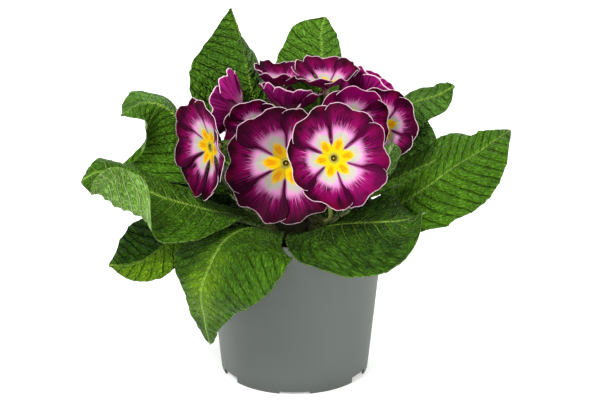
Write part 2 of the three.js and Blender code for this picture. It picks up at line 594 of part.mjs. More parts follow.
/** Five-ribbed calyx and its stalk, bent down to the crown, as one body. */
function flowerStem(spec) {
  const frame = flowerFrame(spec);
  const inFrame = (height) => new THREE.Vector3(0, 0, height).applyMatrix4(frame);
  const mouth = -TUBE_LENGTH - GAP;
  const calyx = lathe([
    [0, mouth - CALYX_LENGTH],
    [STEM_RADIUS + 0.3, mouth - CALYX_LENGTH],
    [CALYX_MOUTH - 0.5, mouth - 0.6 * CALYX_LENGTH],
    [CALYX_MOUTH, mouth],
    [0, mouth],
  ], 10);
  const position = calyx.attributes.position;
  for (let i = 0; i < position.count; i += 1) {
    const angle = Math.atan2(position.getY(i), position.getX(i));
    const rib = 1 - 0.12 * (1 - Math.cos(5 * angle));
    position.setX(i, position.getX(i) * rib);
    position.setY(i, position.getY(i) * rib);
  }
  const root = new THREE.Vector3(spec.foot[0], spec.foot[1], CROWN.top + GAP);
  const neck = inFrame(mouth - CALYX_LENGTH - 4);
  const path = new THREE.CatmullRomCurve3([
    root,
    root.clone().add(new THREE.Vector3(0, 0, 7)),
    spec.via ? new THREE.Vector3(...spec.via) : root.clone().lerp(neck, 0.6).add(new THREE.Vector3(0, 0, -1)),
    neck,
    inFrame(mouth - CALYX_LENGTH + 1),
  ], false, 'catmullrom', 0.5);
  const section = new THREE.Shape();
  for (let k = 0; k < STALK_SIDES; k += 1) {
    const angle = (k * 2 * Math.PI) / STALK_SIDES;
    const move = k === 0 ? 'moveTo' : 'lineTo';
    section[move](STEM_RADIUS * Math.cos(angle), STEM_RADIUS * Math.sin(angle));
  }
  const stalk = new THREE.ExtrudeGeometry(section, { steps: 6, bevelEnabled: false, extrudePath: path });
  calyx.applyMatrix4(frame);
  return geometryOf(solidFrom(calyx).add(solidFrom(stalk)));
}

// ---- assembly -----------------------------------------------------------------------------------
const COLOURS = {
  pot: 0x73787a,
  soil: 0x2f241c,
  crown: 0x7d8a4a,
  leaf: 0x3f7a26,
  bloom: 0x7a0a52,
  stem: 0x7c9a55,
};
const group = new THREE.Group();

function addPart(name, geometry, colour, roughness = 0.7) {
  geometry.computeVertexNormals();
  const material = new THREE.MeshStandardMaterial({ color: colour, roughness, metalness: 0 });
  const mesh = new THREE.Mesh(geometry, material);
  mesh.name = name;
  group.add(mesh);
}

const numbered = (word, index) => `${word}_${String(index + 1).padStart(2, '0')}`;

addPart('pot', pot(), COLOURS.pot, 0.5);
addPart('soil', soil(), COLOURS.soil, 0.95);
addPart('crown', crown(), COLOURS.crown);
LEAVES.forEach((spec, index) => addPart(numbered('leaf', index), leaf(spec), COLOURS.leaf));
BLOOMS.forEach((spec, index) => {
  addPart(numbered('bloom', index), bloom(spec), COLOURS.bloom);
  addPart(numbered('flower_stem', index), flowerStem(spec), COLOURS.stem);
});

export default group;
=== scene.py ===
"""Potted primrose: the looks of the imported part, built in millimetres and stored in metres."""
import math
from functools import reduce
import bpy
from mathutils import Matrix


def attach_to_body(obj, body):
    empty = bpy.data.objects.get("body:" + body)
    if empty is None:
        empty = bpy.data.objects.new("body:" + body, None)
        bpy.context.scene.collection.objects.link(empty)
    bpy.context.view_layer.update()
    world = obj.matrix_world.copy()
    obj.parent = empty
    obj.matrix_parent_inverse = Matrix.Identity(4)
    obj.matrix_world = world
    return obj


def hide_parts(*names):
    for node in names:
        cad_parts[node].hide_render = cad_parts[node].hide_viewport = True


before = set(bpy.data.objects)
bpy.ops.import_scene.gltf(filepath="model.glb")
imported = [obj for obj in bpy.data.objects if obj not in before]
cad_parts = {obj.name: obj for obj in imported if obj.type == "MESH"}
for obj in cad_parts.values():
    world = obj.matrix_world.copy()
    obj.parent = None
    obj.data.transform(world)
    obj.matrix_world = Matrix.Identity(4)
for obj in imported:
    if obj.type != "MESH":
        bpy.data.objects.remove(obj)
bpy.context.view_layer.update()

from types import SimpleNamespace

import bpy
import numpy as np
from mathutils import Matrix, Vector

MM = 0.001

# ---- the plant ----
# Millimetres and degrees, as in the solids. A leaf's spine runs from the crown to its tip, blade is
# the station on it where the blade opens, and azimuth is the way it leaves the crown. These have a
# number for each of its points: left and right (or widths, for both) are half-widths, roll turns the
# blade about the spine, fold lifts each half and curl bends it on (or one pair for all the points).
# crease is the share of the half-width that bends. tone is painted light and shade (how brightly the leaf
# is painted as lit, darker for leaves in shade), warmth, and painted sheen; ribbing is how deep the veins
# are and veins how pale; lit is the half where light coming through is painted, and spots are patches
# where it is: place, spread, amount.
# the usual painted light and shade, warmth and painted sheen of a leaf
USUAL_TONE = [0.4, 0.4, 0.0]
USUAL_VEINS = 0.3
LOW = dict(blade=1.8, widths=[2.6, 3.4, 15, 23, 19, 5], fold=[6, 6], curl=[-25, -25])
HALF_UPRIGHT = dict(blade=2.2, widths=[2.4, 2.8, 11, 19, 16, 5], fold=[10, 10], curl=[-20, -20])
LEAVES = [
    # tall leaf standing behind the flowers on the left, its right half turned away
    dict(spine=[[-3.7, 11.6, 85], [-11, 18, 108], [-18, 20, 134], [-24, 22, 157], [-27, 27, 173],
                [-30, 30, 187], [-34.5, 31, 200.5]], azimuth=100, blade=2.2,
         left=[2.2, 2.8, 16, 33, 31, 20, 4], right=[2.2, 2.8, 7, 12, 21, 14, 4],
         fold=[[10, 10], [8, 10], [2, -20], [0, -35], [0, -55], [2, -75], [5, -75]], curl=[4, -20],
         tone=[0.64, 0.5, 0.12], ribbing=1.25, veins=0.12),
    # upright leaf behind the top flower
    dict(spine=[[2.3, 12, 85], [8, 23, 106], [13, 34, 132], [15, 42, 157], [15.5, 46, 171], [15, 49, 182],
                [17, 51, 190.5]], azimuth=84, blade=2.2, left=[2.2, 2.8, 12, 26, 25, 17, 4],
         right=[2.2, 2.8, 9, 12, 12, 10, 4], fold=[6, -20], curl=[-15, -20], tone=[0.96, 0.6, 0.22],
         ribbing=1.1, veins=0.12),
    # left middle, arched, its near half hanging
    dict(spine=[[-12, -1.6, 85], [-25, -6, 98], [-40, -5, 113], [-54, -2, 133], [-68, -3, 152],
                [-81, -12, 159], [-92, -24, 157]], azimuth=190, blade=2.0,
         left=[2.4, 2.8, 12, 32, 38, 15, 5], right=[2.4, 2.8, 8, 13, 15, 13, 5],
         roll=[0, 0, -4, -8, -8, -8, -8],
         fold=[[10, 10], [0, 8], [-30, 5], [-66, 10], [-70, 10], [-55, 8], [-35, 0]], curl=[-10, -25],
         tone=[0.72, 0.45, 0.06], ribbing=1.1, veins=0.15),
    # long left leaf, its near margin folded up and over
    dict(spine=[[-10.2, -6.4, 85], [-28, -23, 97], [-50, -35, 108], [-71, -43, 117], [-88, -46, 127],
                [-102, -45, 131], [-113, -43, 125]], azimuth=212, blade=1.6, crease=[0.32, 0.62],
         left=[2.2, 5, 23, 32, 40, 26, 6], right=[2.2, 8, 18, 19, 16, 13, 5],
         roll=[0, 0, -12, -20, -20, -15, 0],
         fold=[[8, 8], [4, 6], [-8, 10], [-30, 20], [-48, 28], [-30, 18], [-10, 0]],
         curl=[[-10, -10], [-10, -20], [-10, -20], [25, -30], [175, -40], [95, -40], [20, -30]],
         tone=[0.5, 0.4, 0.0], ribbing=0.9, veins=0.7),
    # lower left leaf
    dict(spine=[[-14, -5.6, 79], [-34, -15, 93], [-52, -23, 93], [-67, -29, 86], [-80, -35, 78],
                [-91, -38, 75.5], [-100, -40, 76]], azimuth=202, blade=1.8,
         left=[2.6, 3.4, 12, 16, 17, 13, 4], right=[2.6, 3.4, 14, 22, 23, 17, 4], fold=[-8, 42],
         curl=[-15, -20], tone=[0.3, 0.3, 0.0], veins=0.1, lit=[1, 0.85]),
    # front left leaf hanging over the pot
    dict(spine=[[-8.4, -12.6, 79], [-20, -28, 93], [-34, -46, 96], [-42, -60, 91], [-48, -68, 77],
                [-49, -67, 64], [-48, -59, 49], [-46, -51, 35]], azimuth=236, blade=1.1,
         left=[2.6, 18, 38, 43, 35, 20, 9, 3], right=[2.6, 6, 22, 26, 22, 13, 8, 3],
         roll=[0, 0, 4, 6, 6, 2, 0, 0],
         fold=[[-4, -4], [-4, -4], [-4, 0], [-4, 4], [-4, 0], [-4, -4], [-4, -4], [-4, -4]],
         curl=[-14, -14], tone=[0.46, 0.5, 0.0], ribbing=0.8, veins=0.5,
         spots=[[-50, -70, 78, 18, 0.6], [-50, -68, 62, 18, 0.55], [-44, -66, 92, 14, 0.35]]),
    # front right leaf
    dict(spine=[[7.2, -13, 79], [15, -36, 97], [26, -53, 105], [39, -60, 108], [52, -63, 110],
                [61, -63, 112], [68, -61, 115]], azimuth=300, blade=1.1, left=[2.6, 10, 20, 24, 24, 21, 7],
         right=[2.6, 24, 34, 34, 31, 20, 6], roll=[0, -2, 12, 24, 24, 20, 14], fold=[4, -8], curl=[-6, -20],
         tone=[0.26, 0.5, 0.0], ribbing=0.9, veins=0.7),
    # big right leaf
    dict(spine=[[14.9, -3.6, 79], [34, -15, 92], [52, -24, 103], [70, -31, 117], [84, -34, 129],
                [98, -35, 139], [114, -35, 151]], azimuth=338, blade=1.2, left=[2.6, 13, 13, 12, 16, 15, 5],
         right=[2.6, 9, 17, 27, 31, 27, 8], roll=[0, 6, 24, 34, 36, 32, 20], fold=[6, -4], curl=[0, -16],
         tone=[0.7, 0.5, 0.05], ribbing=1.3, veins=0.25),
    # small leaf behind the big right one
    dict(spine=[[11.8, -2.6, 85], [32, -4, 102], [54, -6, 113], [72, -7, 122], [84, -6, 129], [94, -5, 134],
                [101, -4, 137]], azimuth=356, blade=1.3, left=[2.2, 2.8, 9, 16, 15, 11, 5],
         right=[2.2, 7, 7, 8, 9, 8, 4], roll=[0, 0, 10, 15, 15, 15, 10], fold=[10, 0], curl=[-10, -10],
         tone=[0.75, 0.4, 0.1], veins=0.3),
    # right upper leaf
    dict(spine=[[12.1, 3.1, 85], [27, 14, 104], [40, 24, 122], [54, 25, 138], [67, 23, 149], [79, 20, 154],
                [88, 18, 160]], azimuth=26, blade=2.8, left=[2.2, 2.8, 4, 7, 9, 8, 3],
         right=[2.2, 2.8, 4, 12, 17, 13, 4], roll=[0, 0, 4, 6, 6, 6, 6], fold=[8, -4], curl=[-10, -25],
         tone=[0.7, 0.5, 0.25], veins=0.2),
    # right middle leaf, standing, its upper side turned to the front
    dict(spine=[[14.9, 2.6, 79], [32, 12, 94], [46, 20, 107], [57, 22, 120], [65, 20, 131], [70, 17, 138],
                [72, 15, 142]], azimuth=12, blade=1.8, left=[2.4, 3, 10, 13, 12, 8, 4],
         right=[2.4, 3, 12, 18, 19, 15, 6], roll=[0, 0, 20, 38, 45, 45, 45], fold=[4, 4], curl=[-12, -12],
         tone=[0.85, 0.4, 0.4], veins=0.15),
    # small upright leaf right of the front flower
    dict(spine=[[8.8, -8.6, 85], [20, -19, 97], [33, -29, 109], [41, -35, 121], [46, -38, 132],
                [49, -39, 140], [51, -39, 146]], azimuth=316, blade=1.9, left=[2.2, 2.6, 10, 14, 15, 13, 5],
         right=[2.2, 8, 15, 15, 12, 8, 3], fold=[12, 20], curl=[-20, -20], tone=[0.12, 0.45, 0.0],
         veins=1.0),
    # shaded leaf inside the left half
    dict(spine=[[-15, 2.3, 79], [-33, 6, 98], [-49, 9, 114], [-64, 12, 124], [-78, 14, 127],
                [-88, 14, 122]], azimuth=172, blade=1.2, left=[2.4, 15, 24, 25, 18, 5],
         right=[2.4, 3.2, 9, 12, 10, 4], fold=[-42, 12], curl=[-15, -25], tone=[0.12, 0.3, 0.0]),
    # back left, low
    dict(LOW, spine=[[-11.2, 10.1, 79], [-30, 26, 95], [-46, 41, 101], [-60, 54, 100], [-71, 64, 92],
                     [-79, 71, 81]], azimuth=138),
    # back, low, over the rim
    dict(LOW, spine=[[-2.6, 14.9, 79], [-7, 36, 96], [-11, 57, 101], [-14, 75, 95], [-16, 87, 82],
                     [-17, 93, 68]], azimuth=100),
    # back right, low
    dict(LOW,
         spine=[[6.2, 13.8, 79], [14, 34, 96], [24, 53, 105], [33, 68, 106], [40, 79, 99], [45, 87, 89]],
         azimuth=66),
    # right back, low
    dict(LOW, spine=[[12.8, 8, 79], [32, 20, 92], [52, 32, 97], [70, 42, 95], [84, 50, 87], [93, 55, 77]],
         azimuth=32, widths=[2.6, 3.4, 14, 21, 17, 5]),
    # back left, half upright
    dict(HALF_UPRIGHT,
         spine=[[-9.8, 7, 85], [-24, 18, 103], [-40, 29, 112], [-56, 38, 119], [-70, 45, 120],
                [-81, 50, 116]], azimuth=145),
    # back right, half upright
    dict(HALF_UPRIGHT,
         spine=[[8.8, 8.2, 85], [20, 24, 101], [31, 39, 109], [43, 53, 116], [53, 64, 118], [61, 72, 115]],
         azimuth=52),
    # small pale leaf under the front right one
    dict(spine=[[11.7, -9.3, 79], [24, -24, 90], [37, -37, 95], [49, -49, 96], [61, -58, 96]], azimuth=316,
         blade=1.6, left=[2.2, 2.8, 6, 8, 3], right=[2.2, 2.8, 7, 8, 3], fold=[10, 10], curl=[-10, -10],
         tone=[0.9, 1.0, 0.0]),
]

# throat is the middle of the face, aim its azimuth and elevation; foot and via lead the stalk there;
# the last number is how much shade is painted on the flower, from 0 to 1
BLOOM_KEYS = ("throat", "aim", "radius", "petals", "spin", "cup", "foot", "via", "painted_shade")
BLOOM_ROWS = [
    ([20.5, -58, 142.8], [-71, 25], 28.5, 6, 4, 9, [4, -7], [19, -43, 104], 0.5),
    ([-4.5, -26.5, 129.5], [-97, 9], 32.5, 6, -2, 10, [-4, -7], [-1, -6, 111], 0.9),
    ([-44.5, -30.8, 140], [-150, 2], 28, 6, 5, 8, [-7.5, -3], [-24, -21, 113], 0.5),
    ([-29, -4.5, 152], [160, 13], 20.5, 5, 10, 13, [-7.5, 2], [-11, -8, 120], 0.95),
    ([-19.5, -13, 143.5], [-100, 3], 19, 5, 36, 6, [-3.6, -1], [-9, 7, 121], 0.3),
    ([17, 9, 162], [-98, 84], 19, 5, 30, 11, [3.5, 1], [14, 13, 117], 0.1),
    ([28.3, -12.6, 148], [-74, 0], 23, 5, 0, 8, [1.5, -3.4], [14, 4, 137], 0.05),
    ([37.2, 14.5, 149.9], [40, 38], 19, 5, 0, 12, [7.8, 2], [16, 5, 118], 0.5),
    ([48, -2.2, 142.6], [-108, 20], 21.5, 5, 18, 5, [7.5, -3.2], [37, 9, 118], 0.8),
    ([-18.9, 47.8, 135.4], [113, 0], 24, 5, 0, 9, [-5.4, 6], [-5, 23, 113], 0.5),
    ([38.1, 44.9, 137.9], [63, 21], 23, 5, 15, 9, [3, 7.4], [20, 20, 115], 0.5),
    ([-3.5, -2, 151], [62, 72], 18, 5, 50, 13, [0, -8.6], [-3, -11, 107], 0.0),
    ([-8.5, 25.5, 157], [-1, 84], 16, 5, 20, 11, [-2.5, 3.5], [-7, 19, 116], 0.5),
]
BLOOMS = [dict(zip(BLOOM_KEYS, row)) for row in BLOOM_ROWS]


# ---- material helpers ----
def linear(colour):
    """A display colour, written like "#3c8c28", as the linear colour that a shader takes."""
    channels = [int(colour[k:k + 2], 16) / 255.0 for k in (1, 3, 5)]
    return [c / 12.92 if c <= 0.04045 else ((c + 0.055) / 1.055) ** 2.4 for c in channels] + [1.0]


class Paint:
    """A Principled material and short ways to add nodes to it."""

    def __init__(self, name):
        self.material = bpy.data.materials.new(name)
        self.material.use_nodes = True
        self.tree = self.material.node_tree
        self.shader = self.tree.nodes["Principled BSDF"]

    def link(self, value, socket):
        """Gives a socket a number, a display colour, or the output of another node."""
        if isinstance(value, bpy.types.NodeSocket):
            self.tree.links.new(value, socket)
        else:
            socket.default_value = linear(value) if isinstance(value, str) else value

    def node(self, kind, *values, **settings):
        """A node of one kind with its settings, and its first sockets set to values or linked."""
        made = self.tree.nodes.new(kind)
        for key, value in settings.items():
            setattr(made, key, value)
        for socket, value in zip(made.inputs, values):
            if value is not None:
                self.link(value, socket)
        return made

    def attribute(self, name):
        """The three numbers of a named fact of the mesh."""
        source = self.node("ShaderNodeAttribute", attribute_name=name)
        return self.node("ShaderNodeSeparateXYZ", source.outputs["Vector"]).outputs[:]

    def place(self):
        """Where a point is, in metres."""
        return self.node("ShaderNodeTexCoord").outputs["Object"]

    def height(self):
        return self.node("ShaderNodeSeparateXYZ", self.place()).outputs[2]

    def vector(self, x=0.0, y=0.0, z=0.0):
        return self.node("ShaderNodeCombineXYZ", x, y, z).outputs[0]

    def math(self, operation, *values):
        return self.node("ShaderNodeMath", *values, operation=operation).outputs[0]

    def add(self, *values):
        return reduce(lambda a, b: self.math("ADD", a, b), values)

    def sub(self, a, b):
        return self.math("SUBTRACT", a, b)

    def mul(self, *values):
        return reduce(lambda a, b: self.math("MULTIPLY", a, b), values)

    def swing(self, value, middle, amount):
        """A 0 to 1 value stretched to middle, plus and minus amount."""
        return self.math("MULTIPLY_ADD", value, 2 * amount, middle - amount)

    def larger(self, a, b):
        return self.math("MAXIMUM", a, b)

    def near_whole(self, value):
        """Distance to the nearest whole number."""
        share = self.math("FRACT", value)
        return self.math("MINIMUM", share, self.sub(1.0, share))

    def step(self, value, start, end):
        """0 at start and 1 at end, smooth between; start may be the larger."""
        kind = "ShaderNodeMapRange"
        return self.node(kind, value, start, end, 0.0, 1.0, interpolation_type="SMOOTHSTEP").outputs[0]

    def line(self, distance, width):
        """1 on a line and 0 from width away."""
        return self.step(distance, width, 0.0)

    def noise(self, vector, scale, detail=2.0, rough=0.5):
        return self.node("ShaderNodeTexNoise", vector, None, scale, detail, rough).outputs["Fac"]

    def cells(self, vector, scale):
        """Distance to the nearest border of an irregular net."""
        made = self.node("ShaderNodeTexVoronoi", vector, feature="DISTANCE_TO_EDGE")
        made.inputs["Scale"].default_value = scale
        return made.outputs["Distance"]

    def mix(self, share, first, second):
        """The first colour at share 0, and the second at 1."""
        made = self.tree.nodes.new("ShaderNodeMix")
        made.data_type = "RGBA"
        self.link(share, made.inputs[0])
        self.link(first, made.inputs[6])
        self.link(second, made.inputs[7])
        return made.outputs[2]

    def layers(self, colour, *coats):
        """A colour under coats of a shade each, as thick as the product of the shares beside it."""
        for shade, *shares in coats:
            colour = self.mix(self.mul(*shares), colour, shade)
        return colour

    def finish(self, colour, rough, height=None, strength=0.5, distance=0.0004, **sockets):
        """Links the shader; height is raised relief, distance its depth in metres."""
        self.link(colour, self.shader.inputs["Base Color"])
        self.link(rough, self.shader.inputs["Roughness"])
        if height is not None:
            bump = self.node("ShaderNodeBump")
            bump.inputs["Strength"].default_value = strength
            bump.inputs["Distance"].default_value = distance
            self.link(height, bump.inputs["Height"])
            self.link(bump.outputs[0], self.shader.inputs["Normal"])
        for name, value in sockets.items():
            self.shader.inputs[name.replace("_", " ")].default_value = value
        return self.material


# ---- mesh helpers ----
def placed(name, data):
    """A new object of the scene that shows a mesh, a lamp or a camera."""
    made = bpy.data.objects.new(name, data)
    bpy.context.scene.collection.objects.link(made)
    return made


def solid(name, points, faces):
    """A new mesh of points in millimetres."""
    mesh = bpy.data.meshes.new(name)
    mesh.from_pydata((np.asarray(points) * MM).tolist(), [], faces)
    return placed(name, mesh)


class Sheets:
    """Gathers points, faces, named three-number facts of each point, and map places, for one mesh."""

    def __init__(self):
        self.points, self.flat, self.faces = [], [], []
        self.facts = {}
        self.count = 0

    def grid(self, points, flat, facts, around=False, turned=False):
        """A grid of quads from an array of rows by columns by 3; returns the numbers of its points."""
        rows, columns = points.shape[:2]
        number = self.count + np.arange(rows * columns).reshape(rows, columns)
        self.points.append(points.reshape(-1, 3))
        self.flat.append(flat.reshape(-1, 2))
        for name, value in facts.items():
            self.facts.setdefault(name, []).append(np.broadcast_to(value, points.shape).reshape(-1, 3))
        self.count += rows * columns
        ring = np.concatenate([number, number[:, :1]], 1) if around else number
        self.join(ring[:-1, :-1], ring[1:, :-1], ring[1:, 1:], ring[:-1, 1:], turned)
        return number

    def join(self, a, b, c, d, turned=False):
        quads = bundle(a, d, c, b) if turned else bundle(a, b, c, d)
        self.faces.append(quads.reshape(-1, 4))

    def strip(self, first, second):
        """Quads between two equally long runs of points."""
        self.join(first[:-1], second[:-1], second[1:], first[1:])

    def close(self, front, back, foot=False):
        """Joins the borders of two grids, but not their first rows unless they are a foot."""
        self.strip(front[:, 0], back[:, 0])
        self.strip(back[:, -1], front[:, -1])
        if foot:
            self.strip(back[0], front[0])
        self.strip(front[-1], back[-1])

    def build(self, node, material):
        """Makes the piece, and puts it in the place of a solid."""
        quads = np.concatenate(self.faces)
        made = solid("fine_" + node, np.concatenate(self.points), quads.tolist())
        for fact, values in self.facts.items():
            layer = made.data.attributes.new(fact, "FLOAT_VECTOR", "POINT")
            layer.data.foreach_set("vector", np.concatenate(values).astype(np.float32).ravel())
        flat = np.concatenate(self.flat)[quads.ravel()]
        made.data.uv_layers.new(name="OFBake").data.foreach_set("uv", flat.astype(np.float32).ravel())
        made.data.validate()
        made.data.shade_smooth()
        made.data.materials.append(material)
        attach(made, node)


def attach(piece, node):
    """Puts a piece in the place of a solid."""
    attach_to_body(piece, "root")
    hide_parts(node)


def ease(share):
    return share * share * (3 - 2 * share)


def smooth(value, start, end):
    """0 at start and 1 at end, smooth between; start may be the larger."""
    return ease(np.clip((value - start) / (end - start), 0, 1))


def bell(distance, width):
    """1 at distance 0, and falling away beyond width."""
    return np.exp(-((distance / width) ** 2))


def bundle(*columns):
    """Numbers or arrays side by side in a last axis."""
    return np.stack(np.broadcast_arrays(*columns), -1)


def polar(radius, angle, height):
    """Points by their distance from the Z axis, their angle round it and their height."""
    return bundle(radius * np.cos(angle), radius * np.sin(angle), height)


def circle(sides):
    return np.linspace(0, 2 * math.pi, sides, endpoint=False)


def wander(values, pitch, seed):
    """A smooth random line from -1 to 1 along values, with a knot every pitch."""
    knots = 512
    table = np.random.default_rng(seed).uniform(-1, 1, knots)
    place = np.asarray(values, float) / pitch + knots / 4
    low = np.floor(place).astype(int)
    share = ease(place - low)
    return table[low % knots] * (1 - share) + table[(low + 1) % knots] * share


def ripple(first, second, pitch, seed):
    """A smooth random surface from -1 to 1 over two coordinates."""
    knots = 64
    table = np.random.default_rng(seed).uniform(-1, 1, (knots, knots))
    x, y = np.broadcast_arrays(np.asarray(first, float) / pitch, np.asarray(second, float) / pitch)
    x, y = x + knots / 2, y + knots / 2
    i, j = np.floor(x).astype(int), np.floor(y).astype(int)
    u, v = ease(x - i), ease(y - j)

    def row(j):
        return table[i % knots, j % knots] * (1 - u) + table[(i + 1) % knots, j % knots] * u

    return row(j) * (1 - v) + row(j + 1) * v


def track(rows, stations):
    """The solids' curve through numbers or rows of them, at stations from 0 to the last one."""
    knots = np.asarray(rows, float)
    last = len(knots) - 1
    before = np.concatenate([[2 * knots[0] - knots[1]], knots, [2 * knots[last] - knots[last - 1]]])
    u = np.clip(np.asarray(stations, float), 0, last)
    i = np.minimum(np.floor(u).astype(int), last - 1)
    w = (u - i).reshape(-1, *[1] * (knots.ndim - 1))
    p0, p1, p2, p3 = before[i], before[i + 1], before[i + 2], before[i + 3]
    t0, t1 = 0.5 * (p2 - p0), 0.5 * (p3 - p1)
    return p1 + t0 * w + (3 * (p2 - p1) - 2 * t0 - t1) * w**2 + (2 * (p1 - p2) + t0 + t1) * w**3


def unit(vectors):
    return vectors / np.linalg.norm(vectors, axis=-1, keepdims=True)


# ---- leaves ----
# thickness of the blade, and of its midrib at the foot and at the tip
BLADE = 0.55
KEEL = 2.6
TIP_KEEL = 1.1
# how far the halves of the stalk are folded up, in degrees
TROUGH = 35
# side veins, the ties between them, how far the ties shift from row to row, and wrinkles per vein
VEIN_PITCH = 6.4
CROSS_PITCH = 5.2
TIE_SHIFT = 0.618
WRINKLES = 4
# how finely a spine is measured, a section bent, and the blade and the stalk divided; the columns lie
# closer together near the midrib
SPINE_SAMPLES = 600
BEND_STEPS = 64
BLADE_STEP = 0.95
STALK_STEP = 2.2
FEWEST_COLUMNS = 14
MOST_COLUMNS = 34
CROWDING = 1.15
# where the random draws of the leaves start, and how many each one has
LEAF_SEED = 100
LEAF_DRAWS = 40


def leaf_frame(spec, u):
    """Place, left and up directions of a leaf at stations u, as the solids have them."""
    place = track(spec["spine"], u)
    along = unit(track(spec["spine"], u + 0.02) - track(spec["spine"], u - 0.02))
    azimuth = math.radians(spec["azimuth"])
    left = np.array([-math.sin(azimuth), math.cos(azimuth), 0.0])
    left = unit(left - along * (along @ left)[:, None])
    roll = np.radians(track(for_all(spec.get("roll", 0), spec), u))[:, None]
    left = left * np.cos(roll) + np.cross(along, left) * np.sin(roll)
    return place, left, np.cross(along, left)


def for_all(value, spec, *pair):
    """A number, or a pair of them, for each point of the spine, from those or from one for all."""
    return np.broadcast_to(value, (len(spec["spine"]), *pair))


def leaf_rows(spec):
    """Stations, how far along the blade each is in mm (below 0 on the stalk), and its length."""
    dense = np.linspace(0, len(spec["spine"]) - 1, SPINE_SAMPLES)
    steps = np.linalg.norm(np.diff(track(spec["spine"], dense), axis=0), axis=1)
    length = np.concatenate([[0], np.cumsum(steps)])
    start = np.interp(spec["blade"] - 1, dense, length)
    stalk = np.linspace(0, start, max(4, int(start / STALK_STEP)), endpoint=False)
    blade = np.linspace(start, length[-1], int((length[-1] - start) / BLADE_STEP))
    travelled = np.concatenate([stalk, blade])
    return np.interp(travelled, length, dense), travelled - start, length[-1] - start


def vein_phase(along, across, size, side):
    """Counts the side veins: a whole number on each vein, which leaves the midrib forwards."""
    rooted = np.clip((along - 0.55 * across - 0.006 * across**2) / size, -0.4, 1.1)
    count = max(5, round(size / VEIN_PITCH))
    return count * (rooted + 0.22 * rooted**2) / 1.22 + (0.5 if side > 0 else 0.0) + 4


def near_whole(value):
    """Distance to the nearest whole number."""
    share = value - np.floor(value)
    return np.minimum(share, 1 - share)


def bent_section(spec, fold, curl, stops):
    """Across, up and slope of a half-blade's section at stops from midrib to margin, for width 1."""
    start, end = spec.get("crease", [0, 1])
    fine = np.linspace(0, 1, BEND_STEPS + 1)
    bend = fold + curl * np.clip((fine - start) / (end - start), 0, 1)
    middle = 0.5 * (bend[:, 1:] + bend[:, :-1])
    zero = np.zeros((len(bend), 1))
    across = np.concatenate([zero, np.cumsum(np.cos(middle), 1)], 1) / BEND_STEPS
    rise = np.concatenate([zero, np.cumsum(np.sin(middle), 1)], 1) / BEND_STEPS
    low = np.minimum((stops * BEND_STEPS).astype(int), BEND_STEPS - 1)
    share = stops * BEND_STEPS - low
    return [table[:, low] * (1 - share) + table[:, low + 1] * share for table in (across, rise, bend)]


def blade_relief(spec, index, side, seed, stops, out, along, phase, reach):
    """How far the upper face stands off the plain blade, and where the veins and ties may show."""
    crossing = out / CROSS_PITCH + TIE_SHIFT * np.floor(phase) + 0.12 * ripple(along, out, 4.0, seed + 2)
    vein = bell(near_whole(phase), 0.15)
    tie = bell(near_whole(crossing), 0.17) * (1 - vein)
    on_blade = smooth(along, 2, 12) * (1 - 0.75 * smooth(stops, 0.82, 1.0)) * smooth(out, 0.8, 3.0)
    on_blade = on_blade * (1 - 0.6 * smooth(reach, 0.86, 1.0))
    relief = -spec.get("ribbing", 1.0) * (0.95 * vein + 0.5 * tie) * on_blade + 0.3 * on_blade
    relief = relief + 0.16 * on_blade * ripple(along, out, 2.1, seed + 4)
    flutter = 1.25 * ripple(along, 0, 8.5, seed + 5) + 0.45 * ripple(along, 0, 3.6, seed + 6)
    relief = relief + smooth(stops, 0.45, 1.0) * smooth(along, 4, 22) * flutter
    sway = ripple(along, out * side, 17.0, LEAF_DRAWS * index + 9)
    relief = relief + 0.9 * smooth(along, 6, 20) * sway
    relief = relief - 0.45 * bell(out, 1.1) * smooth(along, -2, 8)
    return relief, on_blade


def blade_thickness(stops, out, along, phase, reach, on_blade):
    """Thin skin, with a keel under the midrib that swells to the stalk, and ribs under the veins."""
    thick = BLADE + (KEEL + (TIP_KEEL - KEEL) * reach - BLADE) * bell(out, 1.5)
    thick = thick + 0.35 * bell(near_whole(phase), 0.09) * on_blade * (1 - 0.6 * stops)
    return thick + 1.1 * (1 - smooth(along, -6, 6)) * (1 - stops**2)


def leaf_half(index, spec, side, rows, stops):
    """A half-blade: its points, normals, relief, thickness, vein facts and distance to the margin."""
    u, along, size = rows
    place, left, up = (part[:, None] for part in leaf_frame(spec, u))
    pick = 0 if side > 0 else 1
    seed = LEAF_SEED + LEAF_DRAWS * index + 3 * side
    opened = smooth(u, spec["blade"] - 1, spec["blade"])
    folds, curls = (track(for_all(spec[key], spec, 2), u)[:, pick] for key in ("fold", "curl"))
    fold = np.radians(TROUGH + (folds - TROUGH) * opened)[:, None]
    curl = np.radians(curls * opened)[:, None]
    across, rise, angle = bent_section(spec, fold, curl, stops)

    reach = np.clip(along / size, 0, 1)
    tip = np.sqrt(np.clip(1 - (np.clip(reach - 0.9, 0, 1) / 0.1) ** 2, 0.02, 1))
    widths = track(half_widths(spec)[pick], u)
    teeth = 0.42 * wander(along, 1.5, seed) + 0.5 * wander(along, 5.5, seed + 1)
    half = (np.maximum(widths, 1) * tip + teeth * smooth(along, 6, 18) * np.minimum(tip, 1))[:, None]
    points = place + left * (side * across * half)[..., None] + up * (rise * half)[..., None]
    normal = up * np.cos(angle)[..., None] - side * left * np.sin(angle)[..., None]

    out = half * stops
    along, reach = along[:, None], reach[:, None]
    phase = vein_phase(along, out, size, side)
    relief, on_blade = blade_relief(spec, index, side, seed, stops, out, along, phase, reach)
    thick = blade_thickness(stops, out, along, phase, reach, on_blade)
    return points, normal, relief, thick, bundle(phase, side * out, along), half - out


def half_widths(spec):
    """The widths of the left half and of the right one."""
    return [spec.get(side, spec.get("widths")) for side in ("left", "right")]


